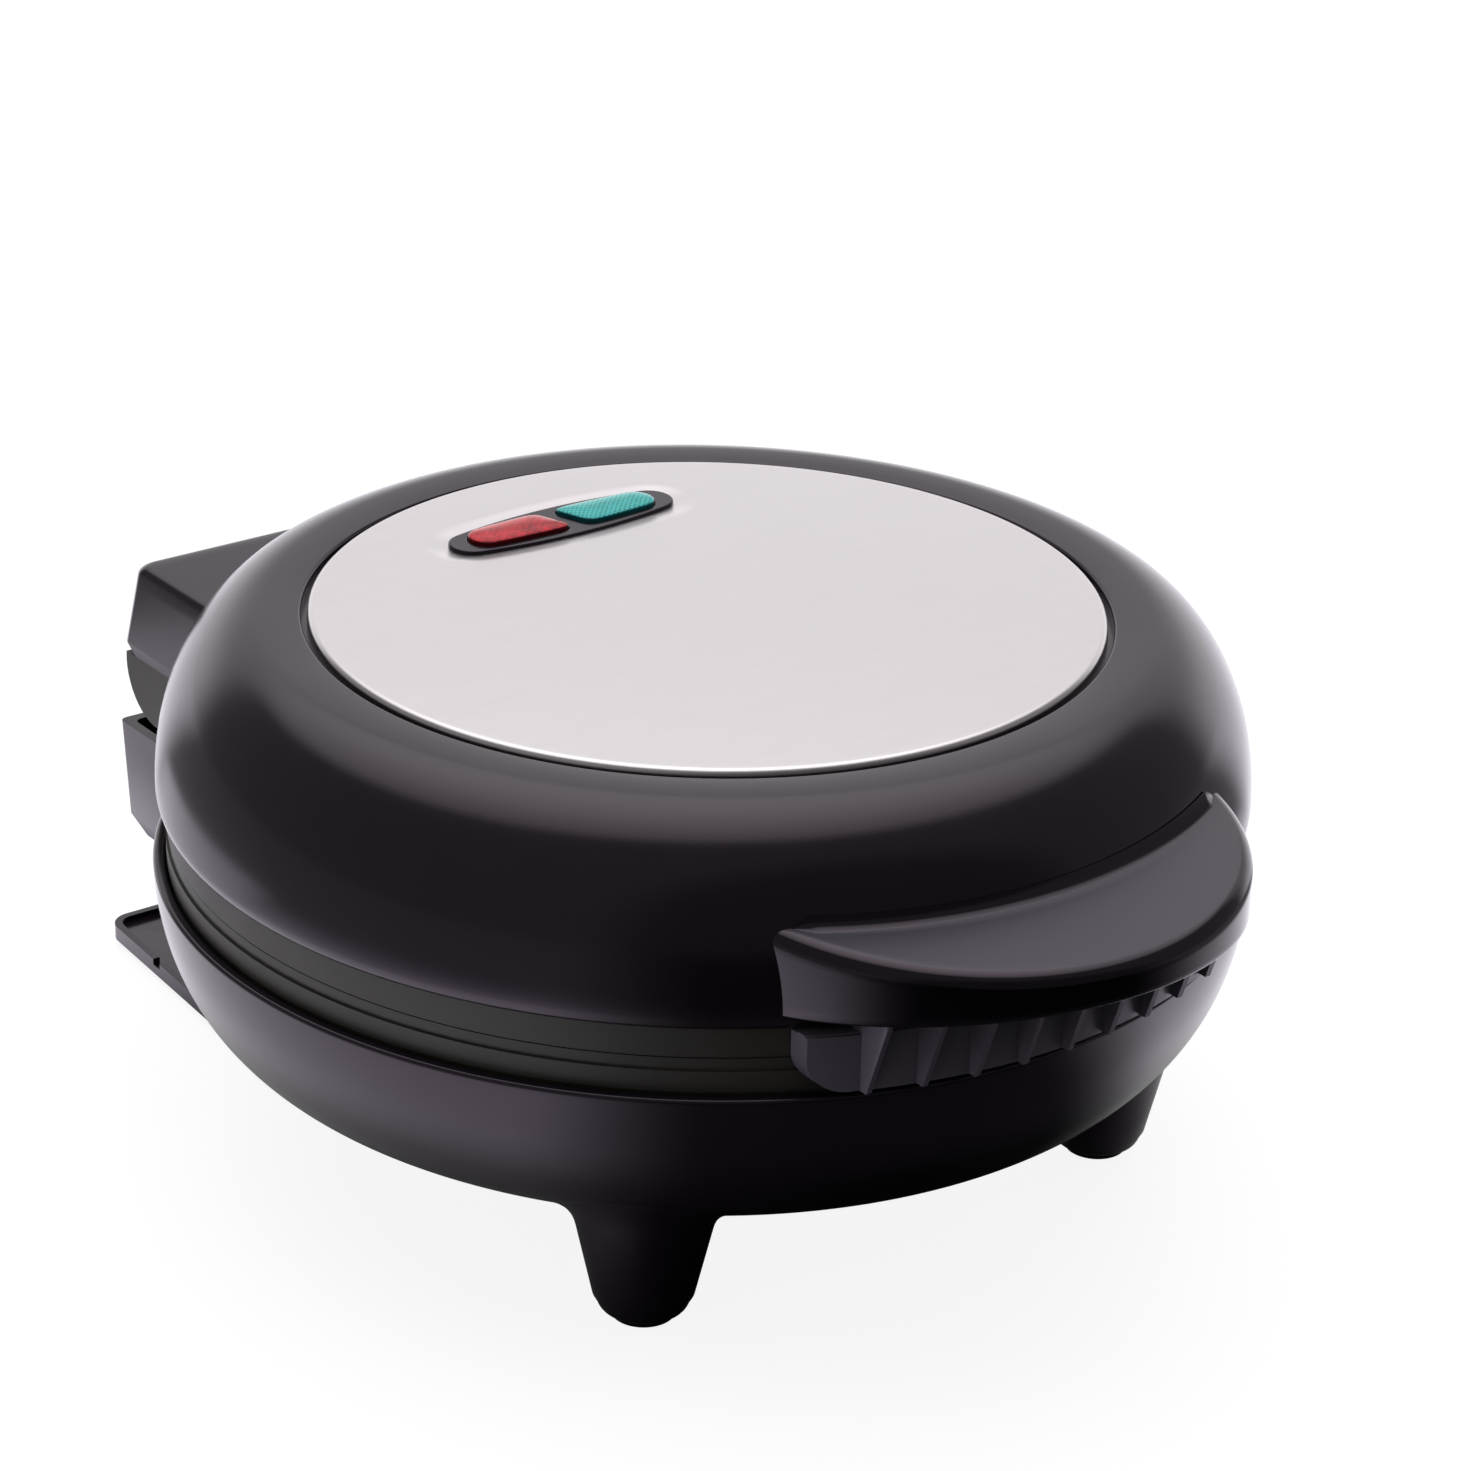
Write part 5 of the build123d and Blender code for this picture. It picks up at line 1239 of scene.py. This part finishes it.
@dataclass
class CrescentHandle:
    """Crescent handle, open underneath, its ends running into the dome."""

    lid: LidDome
    half_w: float = 53.0
    tip_y: float = -91.0
    front_y: float = -131.5
    tip_top_z: float = 92.3
    front_top_z: float = 89.2
    tip_low_z: float = 75.6
    front_low_z: float = 82.0
    edge_r: float = 3.0
    lower_round: float = 0.5
    wall: float = 2.4
    top_t: float = 2.6
    band_run: float = 1.9
    band_rise: float = 2.2
    band_hollow: float = 0.25
    seam_w: float = 0.35
    seam_depth: float = 0.8
    full_room: float = 6.0
    least_room: float = 0.4
    overlap: float = 0.03
    face_steps: int = 9
    edge_turns: Flat = (9.0, 90.0)
    edge_steps: int = 9
    front_steps: int = 6
    lower_turns: Flat = (30.0, 90.0)
    lower_steps: int = 2
    rounds: int = 8
    root: float = 10.0
    steps: int = 160

    @property
    def depth(self) -> float:
        """Run of the handle from its tips to its front."""
        return self.tip_y - self.front_y

    @property
    def arc_r(self) -> float:
        """Radius of its outline seen from above."""
        return (self.half_w ** 2 + self.depth ** 2) / (2 * self.depth)

    def level(self, y: float, tip_z: float, front_z: float) -> float:
        """Height on a slope from the tips to the front."""
        return mix(tip_z, front_z, (self.tip_y - y) / self.depth)

    def dome_r(self, z: float) -> float:
        """Radius of the lid dome at a height."""
        share = (z - self.lid.belly_z) / (self.lid.deck_z - self.lid.belly_z)
        return self.lid.deck_r + (self.lid.belly_r - self.lid.deck_r) * math.sqrt(1 - min(share * share, 1.0))

    def station(self, turn: float) -> list[Point]:
        """Section of the handle at one place along its outline.

        Args:
            turn: Direction from the outline's centre, in degrees.

        Returns:
            Points from the dome over the top, down the front and back inside.
        """
        a = math.radians(turn)
        nx, ny = math.cos(a), math.sin(a)
        cy = self.front_y + self.arc_r

        def plan(inset: float) -> Flat:
            """Place on the outline drawn in by inset."""
            return ((self.arc_r - inset) * nx, cy + (self.arc_r - inset) * ny)

        def top(y: float) -> float:
            """Height of the top face."""
            return self.level(y, self.tip_top_z, self.front_top_z)

        def low(y: float) -> float:
            """Height of the lower edge."""
            return self.level(y, self.tip_low_z, self.front_low_z)

        x2, y2 = plan(self.edge_r)

        def wall(z: float) -> float:
            """Place of the dome's wall at a height."""
            return -math.sqrt(max(self.dome_r(z) ** 2 - x2 * x2, 0.0))

        back = wall(top(y2))
        for _ in range(self.rounds):
            back = wall(top(back))
        room = back - y2
        grown = min(max(room / self.full_room, 0.0), 1.0)
        back = max(back, y2 + self.least_room)
        high = top(back) + self.band_rise * grown
        run = min(self.band_run * grown, room / 2)
        gap, low_z = self.seam_w * grown, high - self.seam_depth * grown
        points: list[Point] = [(x2, wall(low_z) + self.overlap, low_z), (x2, wall(low_z) - gap, low_z)]
        edge_y, foot_y = wall(high) - gap, back - run
        for share in spread(0, 1, self.face_steps):
            sag = 4 * self.band_hollow * grown * share * (1 - share)
            points.append((x2, mix(edge_y, foot_y, share) + sag, mix(high, top(foot_y), share) - sag))
        for share in spread(NEXT, 1.0, self.face_steps):
            y = mix(foot_y, y2, share)
            points.append((x2, y, top(y)))
        for tilt in spread(*self.edge_turns, self.edge_steps):
            t = math.radians(tilt)
            x, y = plan(self.edge_r * (1 - math.sin(t)))
            points.append((x, y, top(y) - self.edge_r * (1 - math.cos(t))))
        x, y = plan(0.0)
        for share in spread(NEXT, 1.0, self.front_steps):
            points.append((x, y, mix(top(y) - self.edge_r, low(y) + self.lower_round, share)))
        for tilt in spread(*self.lower_turns, self.lower_steps):
            t = math.radians(tilt)
            x, y = plan(self.lower_round * (1 - math.cos(t)))
            points.append((x, y, low(y) + self.lower_round * (1 - math.sin(t))))
        x, y = plan(self.wall - self.lower_round)
        points.append((x, y, low(y)))
        x, y = plan(self.wall)
        points.append((x, y, low(y) + self.lower_round))
        points.append((x, y, top(y) - self.top_t))
        y = max(back, y)
        points.append((x, y, top(y) - self.top_t))
        return points

    def build(self, finishes: Finishes) -> None:
        """Make the handle.

        Args:
            finishes: Where the finish comes from.
        """
        cy = self.front_y + self.arc_r
        end = math.degrees(math.asin((self.tip_y + self.root - cy) / self.arc_r))
        shell = Shell()
        shell.grid([self.station(turn) for turn in spread(-180 - end, end, self.steps)])
        piece = shell.build("crescent_handle", Body.LID)
        finishes.dress(piece, ABS_HANDLE)
        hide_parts("lid_handle")


@dataclass(frozen=True)
class EdgedSolid:
    """A solid of the frame shown with its edges broken, as a mould leaves them."""

    node: str
    name: str
    body: Body
    edge_mm: float
    finish: MouldedPlastic
    slot: str
    segments: int = 3

    def build(self, finishes: Finishes) -> None:
        """Copy the solid's faces, merge the flat ones and round the edges.

        Args:
            finishes: Where the finish comes from.
        """
        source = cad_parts[self.node]
        work = bmesh.new()
        work.from_mesh(source.data)
        work.transform(source.matrix_world)
        bmesh.ops.remove_doubles(work, verts=work.verts, dist=WELD_MM * MM)
        bmesh.ops.dissolve_limit(
            work, angle_limit=math.radians(FLAT_ANGLE), verts=work.verts, edges=work.edges, delimit=set()
        )
        mesh = bpy.data.meshes.new(self.name)
        work.to_mesh(mesh)
        work.free()
        piece = show(self.name, mesh)
        edge = piece.modifiers.new("edge_round", "BEVEL")
        edge.width = self.edge_mm * MM
        edge.segments = self.segments
        edge.limit_method = "ANGLE"
        edge.angle_limit = math.radians(SHARP_ANGLE)
        edge.harden_normals = True
        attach(piece, self.body.value)
        finishes.dress(piece, self.finish)
        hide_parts(self.node)


EDGED_SOLIDS = (
    EdgedSolid("handle_insert", "ribbed_grip", Body.LID, 0.25, ABS_GRIP, "black_plastic"),
    EdgedSolid("cord_wrap_plate", "cord_wrap_stand", Body.BASE, 0.3, ABS_BLACK, "black_plastic"),
)


class CarriedSolids:
    """Solids of the frame that show as they are, each with its finish."""

    PAIRED: dict[str, Finish] = {
        "frame_ring": PBT_BAND,
        "cooking_plate": PTFE_COAT,
        "heating_element": STEEL_ROD,
        "element_clamps": STEEL_ROD,
        "heat_shield": ALUMINIUM_SHEET,
        "frame_screws": STEEL_ZINC,
        "clamp_screws": STEEL_ZINC,
        "plate_screws": STEEL_ZINC,
    }
    SINGLE: dict[str, Finish] = {
        "foot_pads": SILICONE_BLACK,
        "stand_pads": SILICONE_BLACK,
        "cord_inlet_bush": SILICONE_BLACK,
        "terminal_block": NYLON_CREAM,
        "lamp_holder": NYLON_CREAM,
        "neon_lamps": ACRYLIC_RED,
        "thermostat": STEEL_ROD,
        "thermal_fuse": STEEL_ROD,
        "hinge_pins": STEEL_ZINC,
        "cord_wrap_screws": STEEL_ZINC,
        "handle_screws": STEEL_ZINC,
    }

    def build(self, finishes: Finishes) -> None:
        """Dress each carried solid, the paired ones in the base and in the lid.

        Args:
            finishes: Where the finishes come from.
        """
        for name, finish in self.PAIRED.items():
            for level in ("lower", "upper"):
                finishes.dress_node(f"{level}_{name}", finish)
        for node, finish in self.SINGLE.items():
            finishes.dress_node(node, finish)


@dataclass
class Studio:
    """Pale floor, soft lamps and the camera."""

    azimuth: float = -38.41
    elevation: float = 24.29
    roll: float = 1.93
    distance: float = 882.04
    focal_px: float = 4661.19
    target: Point = (-3.11, -34.94, 95.54)
    principal: Flat = (68.72, 3.08)
    sensor: float = 36.0
    clip: Flat = (0.05, 20.0)
    far_way: Point = (0.621, 0.784, 0.0)
    softbox_way: Point = (0.167, 0.317, 0.934)
    softbox_edge: Flat = (0.68, 0.84)
    softbox_low: float = 1.18
    softbox_top: float = 1.92
    backdrop_edge: Flat = (0.55, 0.78)
    backdrop_rise: Flat = (0.05, 0.4)
    backdrop: float = 0.75
    backdrop_low: float = 1.3
    room: float = 0.19
    matt_gain: float = 0.4
    front_way: Point = (-0.12, -0.993, 0.0)
    front_edge: Flat = (0.6, 0.78)
    front_room: float = 0.42
    shade_way: Point = (-0.156, -0.988, 0.0)
    shade_edge: Flat = (0.57, 0.9)
    shade: float = 0.04
    behind_edge: Flat = (0.5, 0.72)
    rear_way: Point = (-0.6, 0.8, 0.0)
    rear_edge: Flat = (0.85, 0.97)
    rear_level: float = 0.8
    rear_r: Flat = (0.3, 0.36)
    # Reach of the painted pool of light on the floor, beyond which it falls to painted shade.
    painted_light_r: Flat = (0.18, 0.31)
    glow_r: Flat = (0.1, 0.14)
    floor_half: float = 4.0
    floor_cloud_mm: float = 120.0
    floor_paint: Flat = (0.88, 0.92)
    floor_rough: float = 0.9
    floor_white: float = 0.89
    floor_shadow: float = 0.2
    floor_glow: float = 0.68
    floor_tint: str = "#f4edff"

    def camera(self) -> None:
        """Place the camera as it stood for the photograph."""
        az, el, roll = (math.radians(v) for v in (self.azimuth, self.elevation, self.roll))
        back = Vector((math.sin(az) * math.cos(el), -math.cos(az) * math.cos(el), math.sin(el)))
        right = Vector((math.cos(az), math.sin(az), 0.0))
        up = back.cross(right)
        right, up = (
            math.cos(roll) * right + math.sin(roll) * up,
            -math.sin(roll) * right + math.cos(roll) * up,
        )
        data = bpy.data.cameras.new("camera")
        data.sensor_fit = "HORIZONTAL"
        data.sensor_width = self.sensor
        data.lens = self.focal_px * self.sensor / IMAGE_WIDTH
        data.shift_x = -self.principal[0] / IMAGE_WIDTH
        data.shift_y = self.principal[1] / IMAGE_WIDTH
        data.clip_start, data.clip_end = self.clip
        eye = bpy.data.objects.new("camera", data)
        place = Vector(self.target) * MM + back * self.distance * MM
        turn = Matrix((right, up, back)).transposed().to_4x4()
        eye.matrix_world = Matrix.Translation(place) @ turn
        bpy.context.scene.collection.objects.link(eye)
        bpy.context.scene.camera = eye

    def floor(self) -> None:
        """Lay the pale floor: white with a faint shadow when looked at; in reflections it shows painted shade
        and painted light.
        """
        shell = bmesh.new()
        signs = ((-1, -1), (1, -1), (1, 1), (-1, 1))
        half = self.floor_half
        shell.faces.new([shell.verts.new((x * half, y * half, 0.0)) for x, y in signs])
        mesh = bpy.data.meshes.new("floor")
        shell.to_mesh(mesh)
        shell.free()
        floor = bpy.data.objects.new("floor", mesh)
        bpy.context.scene.collection.objects.link(floor)
        material, tree, shader = start_material("floor_white_painted_light_and_shade")
        place = add_node(tree, "ShaderNodeTexCoord").outputs["Object"]
        cloud = noise(tree, place, self.floor_cloud_mm)
        reach, around = (
            add_node(tree, "ShaderNodeVectorMath", {"operation": operation, "#0": place}).outputs[result]
            for operation, result in (("LENGTH", "Value"), ("NORMALIZE", "Vector"))
        )
        # Painted light and shade for reflections: a bright pool near the object and behind it, dark sectors
        # in front and far off, and a glow near the object.
        near = fade(tree, reach, *self.painted_light_r, 1.0, self.room)
        front = fade(tree, along(tree, around, self.shade_way), *self.shade_edge, 1.0, self.shade)
        behind = fade(tree, along(tree, around, self.far_way), *self.behind_edge, 0.0, 1.0)
        rear = fade(tree, along(tree, around, self.rear_way), *self.rear_edge, 0.0, self.rear_level)
        close = fade(tree, reach, *self.rear_r, 1.0, 0.0)
        behind = number(tree, "MAXIMUM", behind, number(tree, "MULTIPLY", rear, close))
        level = number(tree, "MAXIMUM", number(tree, "MULTIPLY", near, front), behind)
        glow = number(tree, "MULTIPLY", level, fade(tree, reach, *self.glow_r, 0.0, self.floor_glow))
        bounce = number(tree, "MULTIPLY", level, between(tree, cloud, *self.floor_paint))
        seen = add_node(tree, "ShaderNodeLightPath").outputs["Is Camera Ray"]
        for socket, value in (
            ("Base Color", blended(tree, seen, bounce, self.floor_shadow)),
            ("Emission Color", blended(tree, seen, linear(self.floor_tint), linear("#ffffff"), colour=True)),
            ("Emission Strength", blended(tree, seen, glow, self.floor_white)),
        ):
            tree.links.new(value, shader.inputs[socket])
        shader.inputs["Roughness"].default_value = self.floor_rough
        shader.inputs["Specular IOR Level"].default_value = 0.0
        floor.data.materials.append(material)

    def world(self) -> None:
        """Set the room: white to the camera, soft lamps to the object.

        The object mirrors a wide softbox overhead, a white backdrop on the far side and a
        dim room on the near side.
        """
        world = bpy.data.worlds.new("studio")
        bpy.context.scene.world = world
        world.use_nodes = True
        tree = world.node_tree
        tree.nodes.clear()
        way = add_node(tree, "ShaderNodeTexCoord").outputs["Generated"]
        toward = along(tree, way, self.softbox_way)
        edge, full = self.softbox_edge
        dim = fade(tree, along(tree, way, self.front_way), *self.front_edge, 1.0, self.front_room)
        box = number(
            tree, "MAXIMUM", fade(tree, toward, edge, full, 0.0, self.softbox_low),
            number(tree, "MULTIPLY", dim, self.room),
        )
        core = fade(tree, toward, full, 1.0, 0.0, self.softbox_top - self.softbox_low, smooth=False)
        height = add_node(tree, "ShaderNodeSeparateXYZ", Vector=way).outputs["Z"]
        rise = fade(tree, height, *self.backdrop_rise, self.backdrop_low, self.backdrop)
        share = fade(tree, along(tree, way, self.far_way), *self.backdrop_edge, 0.0, 1.0)
        backdrop = number(tree, "MULTIPLY", share, rise)
        light = number(tree, "MAXIMUM", number(tree, "ADD", box, core), backdrop)
        path = add_node(tree, "ShaderNodeLightPath")
        matt = number(tree, "MULTIPLY", path.outputs["Is Diffuse Ray"], self.matt_gain)
        light = number(tree, "MULTIPLY", light, number(tree, "ADD", matt, 1.0))
        shade = blended(tree, path.outputs["Is Camera Ray"], light, 1.0)
        sky = add_node(tree, "ShaderNodeBackground", Color=(1.0, 1.0, 1.0, 1.0), Strength=shade)
        add_node(tree, "ShaderNodeOutputWorld", Surface=sky.outputs["Background"])

    def build(self) -> None:
        """Set up the camera, floor, room and view."""
        self.camera()
        self.floor()
        self.world()
        bpy.context.scene.view_settings.view_transform = "Standard"
        log.info("studio: camera, floor and room")


def main() -> None:
    """Build every piece in order."""
    logging.basicConfig(level=logging.INFO, format="%(name)s: %(message)s")
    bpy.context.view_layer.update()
    finishes = Finishes()
    Studio().build()
    CarriedSolids().build(finishes)
    lid = LidDome()
    lid.build(finishes)
    BaseBody().build(finishes)
    window = LampWindow()
    window.build(finishes)
    CoverDisc(window).build(finishes)
    CrescentHandle(lid).build(finishes)
    for solid in EDGED_SOLIDS:
        solid.build(finishes)


if __name__ == "__main__":
    main()
